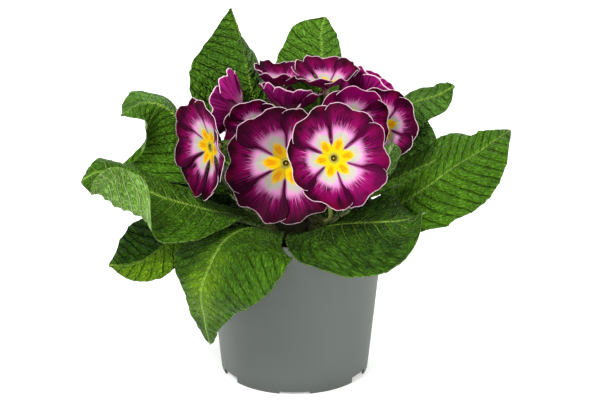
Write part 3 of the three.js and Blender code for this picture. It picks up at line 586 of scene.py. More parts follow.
def leaf_glow(spec, points, across):
    """How much light comes through each point of a leaf."""
    glow = np.zeros(points.shape[:2])
    for *spot, spread, amount in spec.get("spots", []):
        away = np.linalg.norm(points - np.array(spot), axis=-1)
        glow = np.maximum(glow, amount * smooth(away, spread, 0.1 * spread))
    lit_half, amount = spec.get("lit", [1, 0.0])
    return np.maximum(glow, amount * smooth(lit_half * across, 0.0, 2.0))


def leaf(index, spec, material):
    """One closed blade of two grids, with the halves joined at the midrib."""
    rows = leaf_rows(spec)
    size = rows[2]
    widest = max(max(widths) for widths in half_widths(spec))
    columns = int(np.clip(widest / BLADE_STEP, FEWEST_COLUMNS, MOST_COLUMNS))
    stops = (np.arange(columns + 1) / columns) ** CROWDING
    right, left = (leaf_half(index, spec, side, rows, stops) for side in (-1, 1))
    joined = [np.concatenate([a[:, :0:-1], b], 1) for a, b in zip(right, left)]
    points, normal, relief, thick, veins, margin = joined
    normal[:, columns] = unit(right[1][:, 0] + left[1][:, 0])
    top = points + normal * relief[..., None]
    under = top - normal * thick[..., None]

    glow = leaf_glow(spec, points, veins[..., 1])
    margin = np.maximum(margin, 0)
    shared = {"vein": veins, "tone": spec.get("tone", USUAL_TONE),
              "marks": [spec.get("veins", USUAL_VEINS), 0.0, 0.0]}
    scale = 0.94 / max(size + 45, 2 * widest)
    flat = bundle(0.25 + 0.9 * veins[..., 1] * scale / 2, 0.3 + veins[..., 2] * scale * 0.7)
    sheets = Sheets()
    front = sheets.grid(top, flat, {"blade": bundle(0.0, margin, glow), **shared})
    facts = {"blade": bundle(1.0, margin, glow), **shared}
    back = sheets.grid(under, flat + [0.5, 0], facts, turned=True)
    sheets.close(front, back, foot=True)
    sheets.build(f"leaf_{index + 1:02d}", material)


def leaf_point(p):
    """What is known of a point of a leaf, with the nets and clouds that both faces are painted with, and
    its
    level: painted light and shade mixed with clouds of tone.
    """
    at = SimpleNamespace()
    phase, across, at.along = p.attribute("vein")
    at.under, at.margin, at.glow = p.attribute("blade")
    # the leaf's painted light and shade, its warmth, and its painted sheen
    light, at.warm, at.haze = p.attribute("tone")
    at.paleness = p.attribute("marks")[0]
    at.flat = p.vector(across, at.along, p.mul(at.under, 40.0))
    at.out = p.math("ABSOLUTE", across)
    phase = p.add(phase, p.swing(p.noise(at.flat, 0.14), 0.0, 0.2))
    at.side_vein = p.near_whole(phase)
    shift = p.mul(p.math("FLOOR", phase), TIE_SHIFT)
    wobble = p.swing(p.noise(at.flat, 0.3), 0.0, 0.5)
    at.tie = p.near_whole(p.add(p.mul(at.out, 1 / CROSS_PITCH), shift, wobble))
    at.net = p.cells(p.vector(across, p.mul(phase, 6.0), 0.0), 0.38)
    at.mesh = p.cells(at.flat, 0.95)
    wave = p.add(p.mul(phase, 2 * math.pi * WRINKLES), p.mul(p.noise(at.flat, 0.35), 9.0))
    at.wrinkle = p.math("SINE", wave)
    at.patch = p.noise(at.flat, 0.16, 3.0)
    at.blister = p.noise(at.flat, 0.42)

    # painted light on the bulges between the veins and on raised blisters, with painted shade between them
    bulge = p.mul(p.step(at.side_vein, 0.0, 0.22), p.step(at.net, 0.0, 0.42))
    clouds = p.add(p.swing(p.noise(at.flat, 0.045), 0.0, 0.35), p.swing(at.patch, 0.0, 0.36))
    relief = p.add(p.mul(p.sub(bulge, 0.45), 0.1), p.swing(at.blister, 0.0, 0.3))
    # painted shade in the creases beside the side veins, which turns pale on leaves with pale veins
    crease_shade_and_pale_veins = p.mul(p.line(at.side_vein, 0.16), p.swing(at.paleness, 0.2, -0.2))
    # the level: painted light and shade (the leaf's own, on bulges and wrinkles, in creases) with random
    # clouds
    at.level = p.sub(p.add(light, clouds, relief, p.mul(at.wrinkle, 0.05)), crease_shade_and_pale_veins)
    return at


def upper_face(p, at):
    """Dark to bright green by painted light and shade, with painted light coming through, painted sheen,
    painted shade in the hollows of the net, and pale ribs that fade outwards.
    """
    dark = p.mix(at.warm, "#082402", "#123000")
    bright = p.mix(at.warm, "#4a840e", "#689e04")
    lit = p.mix(at.level, "#548004", "#92ba0e")
    fade = p.step(at.out, 24.0, 2.0)
    vein = p.line(at.side_vein, p.swing(fade, 0.055, 0.02))
    vein = p.mul(vein, at.paleness, p.swing(fade, 0.6, 0.4))
    rib = p.line(at.out, p.math("MULTIPLY_ADD", at.along, -0.008, 1.7))
    rib = p.mul(rib, p.add(p.swing(p.noise(at.flat, 0.06), 0.7, 0.5), p.mul(at.paleness, 0.5)))
    return p.layers(
        # dark to bright by the level of painted light and shade
        p.mix(at.level, dark, bright),
        # painted light coming through the blade
        (lit, at.glow),
        # painted sheen, a grey-green coat
        ("#709664", at.haze, 0.5),
        # painted shade in the hollows of the net
        ("#061e00", p.line(at.net, 0.12), 0.25),
        ("#96c048", p.larger(rib, vein)))


def under_face(p, at):
    # pale green, lighter and darker by the same painted light and shade as the upper face, with pale veins
    return p.layers(
        p.mix(at.level, "#42701a", "#7aa63c"),
        ("#a0c476", p.line(at.net, 0.11), 0.3),
        ("#aaca80", p.line(at.tie, 0.07), 0.55),
        ("#bad692", p.line(at.side_vein, 0.075), 0.9),
        ("#b6d08c", p.line(at.out, 1.7)))


def leaf_bumps(p, at):
    """Bulges in the nets, hollow on the underside, with the veins, wrinkles and grain."""
    nets = p.add(p.mul(p.step(at.net, 0.0, 0.3), 0.7), p.mul(p.step(at.mesh, 0.0, 0.35), 0.1))
    veins = p.mul(p.step(at.side_vein, 0.0, 0.12), 0.6)
    wrinkles = p.mul(p.add(at.wrinkle, p.mul(at.blister, 5.0)), 0.1)
    grain = p.mul(p.noise(at.flat, 1.6, 3.0), 0.06)
    return p.add(p.mul(nets, p.swing(at.under, 0.0, -1.0)), veins, wrinkles, grain)


def leaf_paint():
    """Both faces, the pale margin and the stalk."""
    p = Paint("leaf_surface")
    at = leaf_point(p)
    stalk = p.mix(at.patch, "#96965c", "#b0ba78")
    colour = p.layers(
        p.mix(at.under, upper_face(p, at), under_face(p, at)),
        ("#96ba54", p.line(at.margin, 0.7), at.paleness, 0.6),
        (stalk, p.step(at.along, 3.0, -9.0)))
    rough = p.swing(at.patch, 0.44, 0.08)
    bumps = leaf_bumps(p, at)
    return p.finish(colour, rough, bumps, strength=1.0, distance=0.0019, Specular_IOR_Level=0.16)


# ---- flowers ----
# a petal's thickness, the tube's mouth, the eye, how far a petal's sides rise and fall to lie over and
# under the next ones, and how much wider it is than its share of the circle
PETAL = 0.45
THROAT_RADIUS = 2.2
EYE_RADIUS = 5.4
PETAL_TILT = 1.0
PETAL_OVERLAP = 1.3
# the notch in a petal's end and its rounded shoulders, as shares of the flower's radius
NOTCH_DEPTH = 0.09
NOTCH_WIDTH = 0.3
SHOULDER = 0.12
PETAL_COLUMNS = 33
EYE_ROWS = 5
PETAL_ROWS = 27
PETAL_SEED = 1000
# the map has this many squares a side: two for each petal, and one for each part in the middle
MAP_CELLS = 4
MOUTH_CELL, KNOB_CELL, TUBE_CELL = 12, 13, 14
PART_SIDES = 36
KNOB_SIDES = 14
# radius and height along the flower's axis: the ring in the eye, the stigma and the tube
MOUTH = [(0.02, -1.9), (1.25, -1.8), (1.35, -0.9), (1.5, -0.1), (1.75, 0.42), (2.05, 0.5), (2.35, 0.2)]
KNOB = [(0.02, -0.15), (0.35, -0.2), (0.55, -0.45), (0.5, -0.8), (0.25, -1.1), (0.18, -1.85)]
TUBE = [(2.7, -0.15), (2.5, -0.9), (2.1, -2.0), (1.85, -3.4), (1.75, -5.6), (0.02, -5.7)]


def in_flower(spec, local):
    """Points of the flower's own frame (face towards +Z) carried to their place on the plant."""
    azimuth, elevation = (math.radians(value) for value in spec["aim"])
    flat = math.cos(elevation)
    face = np.array([flat * math.cos(azimuth), flat * math.sin(azimuth), math.sin(elevation)])
    right = np.array([-math.sin(azimuth), math.cos(azimuth), 0.0])
    upwards = np.cross(face, right)
    spin = math.radians(spec["spin"])
    first = right * math.cos(spin) + upwards * math.sin(spin)
    second = upwards * math.cos(spin) - right * math.sin(spin)
    return local @ np.array([first, second, face]) + np.array(spec["throat"])


def map_cell(number, u, v):
    """Places 0 to 1 in one square of the map."""
    column, row = number % MAP_CELLS, number // MAP_CELLS
    return bundle((column + 0.04 + 0.92 * u) / MAP_CELLS, (row + 0.04 + 0.92 * v) / MAP_CELLS)


def petal_height(spec, q, out, reach, seed):
    """How high a petal's points are: the cup, the tilt, the ruffled rim, the crease and its bulges."""
    phase = np.random.default_rng(seed).uniform(0, 1)
    ruffle = 0.75 * np.sin(2 * math.pi * (1.15 * q + phase)) + 0.8 * wander(q, 0.42, seed + 2)
    ruffle = ruffle * out**2.4 * (1 - 0.6 * q**4)
    crease = -0.6 * bell(q, 0.13) * smooth(out, 0.15, 0.8)
    bulge = 0.9 * (np.abs(q) * (1 - np.abs(q))) * 4 * out * (1 - 0.7 * out)
    height = spec["cup"] * (reach / spec["radius"]) ** 1.5 + PETAL_TILT * q * np.minimum(1, out / 0.25)
    return height + ruffle + crease + bulge


def petal(sheets, spec, k, seed):
    """A petal: q runs across it from -1 to 1, and p outwards: -1 in the throat, 0 at the eye's rim, 1."""
    radius = spec["radius"]
    part = math.pi / spec["petals"]
    q = np.linspace(-1, 1, PETAL_COLUMNS)
    p = np.append(np.linspace(-1, 0, EYE_ROWS, endpoint=False), np.linspace(0, 1, PETAL_ROWS))[:, None]
    out = np.maximum(p, 0)
    lap = smooth(out, 0.3, 0.75)
    spread = (1 + (PETAL_OVERLAP - 1) * lap) * (1 - 0.1 * smooth(out, 0.8, 1.0) ** 1.5)
    notch = NOTCH_DEPTH * bell(q, NOTCH_WIDTH) + SHOULDER * q**4
    crinkle = 0.014 * wander(q, 0.21, seed) + 0.007 * wander(q, 0.08, seed + 1)
    edge = radius * (1 - notch + crinkle)
    reach = EYE_RADIUS + (edge - EYE_RADIUS) * out + (EYE_RADIUS - THROAT_RADIUS) * np.minimum(p, 0)
    turn = q * spread
    top = polar(reach, (2 * k + turn) * part, petal_height(spec, q, out, reach, seed))

    free = (1 - np.abs(q)) * part * spread * reach + 3 * (1 - smooth(reach / radius, 0.74, 0.9))
    border = np.minimum(edge - reach + 0.02, free)
    thick = PETAL * (0.45 + 0.55 * smooth(border, 0.0, 1.2))
    under = top - np.array([0, 0, 1.0]) * thick[..., None]
    # a random draw for each petal, raised by the shade painted on its flower
    chance = 0.5 * np.random.default_rng(seed + 7).uniform(0, 1) + 0.5 * spec["painted_shade"]
    petal_fact = bundle(reach / radius, turn, border)
    u, v = (q + 1) / 2, (p + 1) / 2
    facts = {"petal": petal_fact, "bloom": bundle(chance, reach, 0.0)}
    front = sheets.grid(in_flower(spec, top), map_cell(2 * k, u, v), facts)
    facts = {"petal": petal_fact, "bloom": bundle(chance, reach, 1.0)}
    back = sheets.grid(in_flower(spec, under), map_cell(2 * k + 1, u, v), facts, turned=True)
    sheets.close(front, back)


def flower_part(sheets, spec, profile, cell, reach, sides=PART_SIDES, under=0.0):
    """A profile turned round the flower's axis, painted like a petal at some reach from the axis."""
    profile = np.array(profile)
    angle = circle(sides)
    flat = map_cell(cell, angle / (2 * math.pi), np.linspace(0, 1, len(profile))[:, None])
    points = in_flower(spec, polar(profile[:, :1], angle, profile[:, 1:]))
    facts = {"petal": bundle(reach / spec["radius"], 0.0, 9.0), "bloom": bundle(0.5, reach, under)}
    sheets.grid(points, flat, facts, around=True)


def bloom(index, spec, material):
    sheets = Sheets()
    for k in range(spec["petals"]):
        petal(sheets, spec, k, PETAL_SEED + 20 * index + 3 * k)
    flower_part(sheets, spec, MOUTH, MOUTH_CELL, np.array(MOUTH)[:, :1])
    flower_part(sheets, spec, KNOB, KNOB_CELL, 2.7, KNOB_SIDES)
    flower_part(sheets, spec, TUBE, TUBE_CELL, np.array(TUBE)[:, :1] + 2, under=1.0)
    sheets.build(f"bloom_{index + 1:02d}", material)


def petal_point(p):
    """What is known of a point of a flower, with the streaks and clouds that it is painted with."""
    at = SimpleNamespace()
    at.share, at.turn, at.border = p.attribute("petal")
    # chance is a random draw for each petal, raised by the shade painted on its flower
    at.chance, at.reach, at.under = p.attribute("bloom")
    at.width = p.math("ABSOLUTE", at.turn)
    at.key = p.mul(at.chance, 37.0)

    def drawn_out(across, outwards):
        return p.noise(p.vector(p.mul(at.turn, across), p.mul(at.share, outwards), at.key), 1.0)

    at.streak = drawn_out(13.0, 2.6)
    at.hair = drawn_out(44.0, 4.2)
    at.cloud = drawn_out(1.6, 3.4)
    return at


def velvet(p, at):
    """The deep red of a petal, with magenta streaks; painted shade on shaded flowers and on some petals at
    random, brighter magenta painted as light on flowers with little painted shade, and painted shade
    where petals lap.
    """
    magenta = "#980066"
    # the colour of the painted shade, darker towards the rim
    painted_shade = p.mix(p.step(at.share, 0.9, 0.5), "#220014", "#60003e")
    vivid = p.step(p.add(p.mul(at.streak, 0.6), p.mul(at.cloud, 0.4)), 0.36, 0.62)
    return p.layers(
        p.mix(p.step(at.cloud, 0.38, 0.72), "#1a000a", "#5c0024"),
        # painted shade, on shaded flowers and on some petals at random
        (painted_shade, p.step(at.chance, 0.5, 1.0), 0.6),
        (magenta, p.step(at.share, 0.95, 0.6), vivid, 0.75),
        # painted light: brighter magenta on flowers with little painted shade, and on some petals at random
        (magenta, p.step(at.chance, 0.36, 0.1), 0.55),
        # painted shade where petals lap
        ("#260016", p.line(p.sub(1.12, at.width), 0.4), 0.8))


def star(p, at):
    """Coats for a pale arm on each petal, drawn out into pink hairs."""
    share, width, streak = at.share, at.width, at.streak
    hairs = p.step(p.add(at.hair, p.mul(p.sub(share, 0.55), -0.5)), 0.5, 0.62)
    hairs = p.larger(hairs, p.step(share, 0.62, 0.48))
    ends = p.mul(p.step(share, p.swing(streak, 0.94, 0.2), 0.46), p.step(width, 0.98, 0.7))
    pink = p.mix(p.step(share, 0.8, 0.54), "#be2292", "#e496ce")
    end = p.add(p.swing(streak, 0.53, 0.14), p.mul(width, -0.12))
    side = p.sub(p.swing(streak, 0.8, 0.08), p.mul(p.step(share, 0.34, 0.6), 0.3))
    beside = p.larger(p.step(width, p.add(side, 0.05), p.sub(side, 0.05)), p.step(share, 0.29, 0.22))
    pale = p.mix(p.step(share, 0.6, 0.46), "#b892b2", "#b4b2a4")
    return (pink, hairs, ends, 0.9), (pale, p.step(share, p.add(end, 0.035), p.sub(end, 0.05)), beside)


def eye(p, at):
    """Coats for the yellow eye with orange blotches, and its green throat."""
    share, width = at.share, at.width
    end = p.sub(p.swing(at.streak, 0.43, 0.05), p.mul(width, 0.16))
    side = p.sub(0.9, p.mul(p.step(share, 0.2, 0.44), 0.72))
    gold = p.mul(p.step(share, end, p.sub(end, 0.07)), p.step(width, p.add(side, 0.16), side))
    gold = p.larger(gold, p.step(share, 0.26, 0.2))
    blotch = p.mul(p.line(p.math("ABSOLUTE", p.sub(width, 0.16)), 0.34), p.step(share, 0.13, 0.2))
    blotch = p.mul(blotch, p.step(share, p.swing(at.hair, 0.38, 0.06), 0.27), 0.85)
    return ((p.mix(blotch, "#e2ba08", "#d67e00"), gold),
            ("#a09e3c", p.step(at.reach, 3.6, 2.5)),
            ("#683e0c", p.step(at.reach, 2.0, 1.7), 0.8))


def petal_back(p, at):
    return p.layers(
        p.mix(p.step(at.streak, 0.35, 0.65), "#680642", "#a41c7a"),
        ("#b07896", p.step(at.share, 0.55, 0.25), 0.7),
        ("#ced08a", p.step(at.reach, 4.6, 3.2)))


def petal_paint():
    p = Paint("petal_surface")
    at = petal_point(p)
    face = p.layers(velvet(p, at), *star(p, at), *eye(p, at))
    waver = p.noise(p.vector(p.mul(at.turn, 5.0), at.key, 0.0), 1.0)
    colour = p.layers(
        p.mix(at.under, face, petal_back(p, at)),
        # painted shade over both faces of shaded flowers, and of some petals at random
        ("#32001a", p.step(at.chance, 0.6, 1.0), 0.45),
        ("#fad8e6", p.line(at.border, p.swing(waver, 0.46, 0.34))))
    bumps = p.add(p.mul(at.streak, 0.5), p.mul(at.hair, 0.5))
    rough = p.swing(at.streak, 0.56, 0.08)
    return p.finish(colour, rough, bumps, strength=0.35, distance=0.0005, Specular_IOR_Level=0.04)


# ---- stalks and calyces ----
CROWN_TOP = 88
GAP = 0.3
TUBE_LENGTH = 5
CALYX_LENGTH = 12
CALYX_MOUTH = 3.3
CALYX_TOP = -TUBE_LENGTH - GAP
CALYX_FOOT = CALYX_TOP - CALYX_LENGTH
CALYX_WALL = 0.35
CALYX_ROWS = [0, 0.05, 0.14, 0.25, 0.38, 0.52, 0.66, 0.78, 0.88, 0.95, 1.0]
CALYX_SIDES = 60
RIBS = 5
STEM_RADIUS = 1.15
STEM_ROWS = 60
STEM_SIDES = 14
STEM_SEED = 700


def tube_points(path, radii, sides):
    """Rings of points round a path, with a frame that doesn't twist."""
    along = unit(np.gradient(path, axis=0))
    across = unit(np.cross(along[0], [0.3, 1.0, 0.2]))
    rings = []
    angle = circle(sides)[:, None]
    for spot, forward, radius in zip(path, along, radii):
        across = unit(across - forward * (across @ forward))
        other = np.cross(forward, across)
        rings.append(spot + radius * (across * np.cos(angle) + other * np.sin(angle)))
    return np.array(rings)


def stalk_path(spec):
    """From above the crown past the guide point, and along the flower's axis into the calyx."""
    def on_axis(height):
        return in_flower(spec, np.array([[0, 0, float(height)]]))[0]

    root = np.array([*spec["foot"], CROWN_TOP + GAP])
    neck = on_axis(CALYX_FOOT - 4)
    knots = [root, root + [0, 0, 7.0], np.array(spec["via"]), neck, on_axis(CALYX_FOOT + 1)]
    return track(knots, np.linspace(0, len(knots) - 1, STEM_ROWS))


def stalk(sheets, index, spec):
    path = stalk_path(spec)
    share = np.linspace(0, 1, len(path))
    swell = 1 + 0.22 * smooth(share, 0.1, 0.0) + 0.05 * wander(share, 0.09, STEM_SEED + index)
    rings = tube_points(path, STEM_RADIUS * swell, STEM_SIDES)
    u, v = np.linspace(0, 0.3, STEM_SIDES), share[:, None] * 0.96 + 0.02
    sheets.grid(rings, bundle(u + 0.02, v), {"stem": bundle(v, u, 0.0)}, around=True)


def calyx(sheets, spec):
    """A ribbed husk with a tooth on each rib: a shell, a lining and the rim between them."""
    h = np.array(CALYX_ROWS)[:, None]
    angle = circle(CALYX_SIDES)
    rib = np.cos(RIBS * angle)
    girth = np.interp(h, [0, 0.08, 0.4, 0.8, 1], [STEM_RADIUS, 1.9, 2.85, 3.15, CALYX_MOUTH])
    girth = girth * (1 - 0.11 * smooth(h, 0, 0.2) * (1 - rib))
    tooth = 0.4 + 3.2 * (0.5 + 0.5 * rib) ** 1.6
    height = CALYX_FOOT + ((CALYX_LENGTH - 1.8) * h + tooth * smooth(h, 0.72, 1.0))
    outside = in_flower(spec, polar(girth, angle, height))
    inside = in_flower(spec, polar(np.maximum(girth - CALYX_WALL, 0.3), angle, height + 0.02))
    flat = bundle(0.36 + 0.28 * (angle / (2 * math.pi)), 0.02 + 0.96 * h)
    facts = {"stem": bundle(h, rib, 1.0)}
    shell = sheets.grid(outside, flat, facts, around=True, turned=True)
    lining = sheets.grid(inside, flat + [0.32, 0], facts, around=True)
    rim, lip = (np.append(ring, ring[:1]) for ring in (lining[-1], shell[-1]))
    sheets.strip(rim, lip)


def stem(index, spec, material):
    sheets = Sheets()
    stalk(sheets, index, spec)
    calyx(sheets, spec)
    sheets.build(f"flower_stem_{index + 1:02d}", material)


def stem_paint():
    p = Paint("stem_surface")
    height, rib, calyx = p.attribute("stem")
    fleck = p.noise(p.place(), 900.0, 3.0)
    patch = p.noise(p.place(), 90.0)
    old = p.step(p.add(height, p.swing(patch, 0.0, 0.3)), 0.75, 0.1)
    green = p.layers(
        p.mix(old, "#707a3a", "#583e28"),
        ("#96a068", p.step(fleck, 0.45, 0.7), 0.3))
    husk = p.layers(
        p.mix(p.step(rib, -0.6, 0.9), "#7c903e", "#3e5c1a"),
        ("#4e6422", p.step(height, 0.82, 1.0)))
    colour = p.mix(calyx, green, husk)
    rough = p.swing(fleck, 0.6, 0.08)
    return p.finish(colour, rough, fleck, strength=0.4, distance=0.0003, Specular_IOR_Level=0.2)


# ---- pot, soil and crown ----
POT_HEIGHT = 90
POT_TOP_RADIUS = 50.4
POT_FOOT_RADIUS = 41.5
POT_WALL = 1.2
POT_SIDES = 160
WALL_MIDDLE = 40
WALL_ROWS = 12
LIP_HEIGHT = 4
LIP_RADIUS = 52.5
LIP_ROUND = 0.6
FLOOR_HEIGHT = 4
FLOOR_TOP = FLOOR_HEIGHT + POT_WALL
# depth, half their width in degrees round the foot, and where they are
NOTCHES = [(3.6, 9.7, (-30, -150, 90)), (1.5, 11.5, (-90, 30, 150))]
NOTCH_LENGTH = 12
DRAIN_RADIUS = 4
DRAIN_CIRCLE = 25
DRAIN_COUNT = 6
DRAIN_SIDES = 28
DRILL_ENDS = (-4, 12)
SHARP_ANGLE = 38
SOIL_TOP = 75
SOIL_ROWS = 46
SOIL_SIDES = 220
# height, pitch and seed of the lumps in its top
SOIL_LUMPS = [(1.1, 9.0, 11), (0.9, 3.6, 12), (0.7, 1.5, 13)]
# the hole in the soil that the crown stands in, and how near the axis a turned face ends
HOLE_RADIUS = 14.4
HOLE_FLOOR = 61.7
AXIS = 0.02
CRUMB_COUNT = 420
CRUMB_RANGE = (16.5, 46)
CRUMB_SIZES = (0.5, 1.7)
CRUMB_ROWS = 5
CRUMB_SIDES = 7
CRUMB_SEED = 2000
SCATTER_SEED = 5
# radius and height of the crown
CROWN_PROFILE = [(AXIS, 62), (14, 62), (14, 74), (14, 79), (13.4, 81), (12.4, 82), (11.6, 84), (11, 86.6),
                 (10, 87.8), (5, 88.2), (AXIS, 88.2)]
CROWN_SIDES = 96
SCARS = 9


def wall_radius(height):
    return POT_FOOT_RADIUS + (POT_TOP_RADIUS - POT_FOOT_RADIUS) * (height / POT_HEIGHT)


def inner_radius(height):
    return wall_radius(height) - POT_WALL


def lathe(name, profile, sides):
    """A closed body turned round the Z axis, from rows of radius and height that start and end on it."""
    profile = np.array(profile, float)
    inner = profile[1:-1]
    points = polar(inner[:, :1], circle(sides), inner[:, 1:]).reshape(-1, 3)
    number = np.arange(len(points)).reshape(len(inner), sides)
    after = np.roll(number, -1, axis=1)
    faces = bundle(number[:-1], after[:-1], after[1:], number[1:]).reshape(-1, 4).tolist()
    first, last = len(points), len(points) + 1
    faces += [[first, b, a] for a, b in zip(number[0], after[0])]
    faces += [[last, a, b] for a, b in zip(number[-1], after[-1])]
    ends = [[0, 0, profile[0][1]], [0, 0, profile[-1][1]]]
    return solid(name, np.concatenate([points, ends]), faces)


def block(name, size, centre, angle):
    """A box turned round the Z axis."""
    corners = [[x, y, z] for x in (-0.5, 0.5) for y in (-0.5, 0.5) for z in (-0.5, 0.5)]
    x, y, z = (np.array(corners) * size + centre).T
    sine, cosine = math.sin(math.radians(angle)), math.cos(math.radians(angle))
    faces = [[0, 1, 3, 2], [4, 6, 7, 5], [0, 4, 5, 1], [2, 3, 7, 6], [0, 2, 6, 4], [1, 5, 7, 3]]
    return solid(name, bundle(x * cosine - y * sine, x * sine + y * cosine, z), faces)


def cut(body, cutters):
    """Takes the cutters out of the body, and removes them."""
    for cutter in cutters:
        step = body.modifiers.new("cut", "BOOLEAN")
        step.operation = "DIFFERENCE"
        step.solver = "EXACT"
        step.object = cutter
    graph = bpy.context.evaluated_depsgraph_get()
    body.data = bpy.data.meshes.new_from_object(body.evaluated_get(graph))
    body.modifiers.clear()
    for cutter in cutters:
        bpy.data.objects.remove(cutter)


def pot_profile():
    """Radius and height: under the floor, round the foot, up the wall, over the lip and back inside."""
    lip_foot = POT_HEIGHT - LIP_HEIGHT
    under_floor = [(0, FLOOR_HEIGHT), (inner_radius(FLOOR_HEIGHT) - 1.5, FLOOR_HEIGHT),
                   (inner_radius(FLOOR_HEIGHT), FLOOR_HEIGHT)]
    foot = [(inner_radius(0), 0.0), (wall_radius(0) - 0.5, 0.0), (wall_radius(0) - 0.15, 0.2)]
    wall = [(wall_radius(z), z) for z in np.linspace(1.2, lip_foot - 0.4, WALL_ROWS)]
    lip = [(wall_radius(lip_foot) + 0.2, lip_foot), (LIP_RADIUS - 0.4, lip_foot + 0.3),
           (LIP_RADIUS, lip_foot + 0.8)]
    for turn in np.radians([90, 67, 45, 22, 0]):
        across, up = LIP_ROUND * math.sin(turn), LIP_ROUND * math.cos(turn)
        lip.append((LIP_RADIUS - LIP_ROUND + across, POT_HEIGHT - LIP_ROUND + up))
    lip += [(inner_radius(POT_HEIGHT) + 0.3, POT_HEIGHT), (inner_radius(POT_HEIGHT), POT_HEIGHT - 0.3)]
    inside = [(inner_radius(z), z) for z in (WALL_MIDDLE, FLOOR_TOP + 1)]
    inside += [(inner_radius(FLOOR_TOP) - 1, FLOOR_TOP), (0, FLOOR_TOP)]
    return under_floor + foot + wall + lip + inside


def notch_cutters():
    cutters = []
    for depth, half_width, angles in NOTCHES:
        width = 2 * POT_FOOT_RADIUS * math.sin(math.radians(half_width))
        size = (NOTCH_LENGTH, width, 2 * depth)
        cutters += [block("notch", size, (POT_FOOT_RADIUS, 0, 0), angle) for angle in angles]
    return cutters


def drain_cutters():
    cutters = []
    low, high = DRILL_ENDS
    profile = [(0, low), (DRAIN_RADIUS, low), (DRAIN_RADIUS, high), (0, high)]
    for k in range(DRAIN_COUNT):
        turn = k * 2 * math.pi / DRAIN_COUNT
        drill = lathe("drill", profile, DRAIN_SIDES)
        place = Vector((DRAIN_CIRCLE * math.cos(turn), DRAIN_CIRCLE * math.sin(turn), 0)) * MM
        drill.data.transform(Matrix.Translation(place))
        cutters.append(drill)
    return cutters


def pot(material):
    body = lathe("fine_pot", pot_profile(), POT_SIDES)
    cut(body, notch_cutters() + drain_cutters())
    body.data.materials.clear()
    body.data.materials.append(material)
    body.data.shade_smooth()
    body.data.set_sharp_from_angle(angle=math.radians(SHARP_ANGLE))
    attach(body, "pot")


def pot_paint():
    p = Paint("pot_plastic")
    grain = p.noise(p.place(), 2600.0)
    cloud = p.noise(p.place(), 22.0, 3.0)
    colour = p.layers(
        p.mix(p.swing(cloud, 0.5, 0.5), "#4e5450", "#565c57"),
        # darker towards the foot
        ("#424644", p.step(p.height(), 0.012, 0.0), 0.4))
    rough = p.swing(cloud, 0.5, 0.06)
    return p.finish(colour, rough, grain, strength=0.12, distance=0.0002, Specular_IOR_Level=0.4)


def crumb(sheets, centre, size, seed):
    """One rounded, uneven grain."""
    chance = np.random.default_rng(seed)
    tall = np.linspace(-1, 1, CRUMB_ROWS)[:, None]
    uneven = 1 + 0.25 * chance.uniform(-1, 1, (CRUMB_ROWS, CRUMB_SIDES))
    girth = np.sqrt(np.clip(1.02 - tall**2, 0.02, 1)) * uneven
    points = polar(girth, circle(CRUMB_SIDES), 0.75 * tall)
    tone = chance.uniform(0, 1)
    flat = np.broadcast_to([0.97 + 0.02 * tone, 0.97], (CRUMB_ROWS, CRUMB_SIDES, 2))
    sheets.grid(centre + size * points, flat, {"soil": [tone, 1.0, 0.0]}, around=True)


def crumbs(sheets):
    """Grains scattered over the soil's top, clear of the crown and the pot."""
    chance = np.random.default_rng(SCATTER_SEED)
    near, end = CRUMB_RANGE
    for k in range(CRUMB_COUNT):
        turn, far = chance.uniform(0, 2 * math.pi), math.sqrt(chance.uniform(near**2, end**2))
        size = chance.uniform(*CRUMB_SIZES)
        centre = np.array([far * math.cos(turn), far * math.sin(turn), SOIL_TOP + 0.5 + 0.4 * size])
        crumb(sheets, centre, size, CRUMB_SEED + k)


def soil(material):
    """Peat with a lumpy top, a hole for the crown, walls clear of the pot, and crumbs."""
    def clear(height):
        return inner_radius(height) - GAP

    sheets = Sheets()
    radii = np.linspace(HOLE_RADIUS, clear(SOIL_TOP), SOIL_ROWS)[:, None]
    angle = circle(SOIL_SIDES)
    x, y = radii * np.cos(angle), radii * np.sin(angle)
    lump = sum(height * ripple(x, y, pitch, seed) for height, pitch, seed in SOIL_LUMPS)
    lump = lump * smooth(radii, HOLE_RADIUS, 16) * smooth(radii, clear(SOIL_TOP), clear(SOIL_TOP) - 1.5)
    scale = 0.45 / 52
    flat = bundle(0.46 + x * scale, 0.46 + y * scale)
    top = bundle(x, y, SOIL_TOP + 0.35 + lump)
    sheets.grid(top, flat, {"soil": bundle(0.5 + 0.25 * lump, 0.0, 0.0)}, around=True, turned=True)

    floor = FLOOR_TOP + GAP
    hole = [(HOLE_RADIUS, SOIL_TOP), (HOLE_RADIUS, HOLE_FLOOR), (AXIS, HOLE_FLOOR)]
    wall = [(AXIS, floor), *((clear(z), z) for z in (floor, WALL_MIDDLE, SOIL_TOP))]
    for profile in (np.array(hole), np.array(wall)):
        points = polar(profile[:, :1], angle, profile[:, 1:])
        flat = bundle(0.93 + 0 * angle, np.linspace(0.02, 0.9, len(profile))[:, None])
        sheets.grid(points, flat, {"soil": [0.4, 0.0, 0.0]}, around=True)
    crumbs(sheets)
    sheets.build("soil", material)


def soil_paint():
    p = Paint("peat")
    tone = p.attribute("soil")[0]
    coarse = p.noise(p.place(), 260.0, 4.0, 0.65)
    fibre = p.noise(p.place(), 1500.0, 3.0)
    level = p.add(p.mul(coarse, 0.6), p.mul(tone, 0.4))
    colour = p.layers(
        p.mix(p.step(level, 0.25, 0.75), "#221913", "#5c4634"),
        ("#806246", p.step(fibre, 0.62, 0.75), 0.5))
    return p.finish(colour, 0.93, p.add(coarse, p.mul(fibre, 0.4)), strength=0.8, distance=0.001)


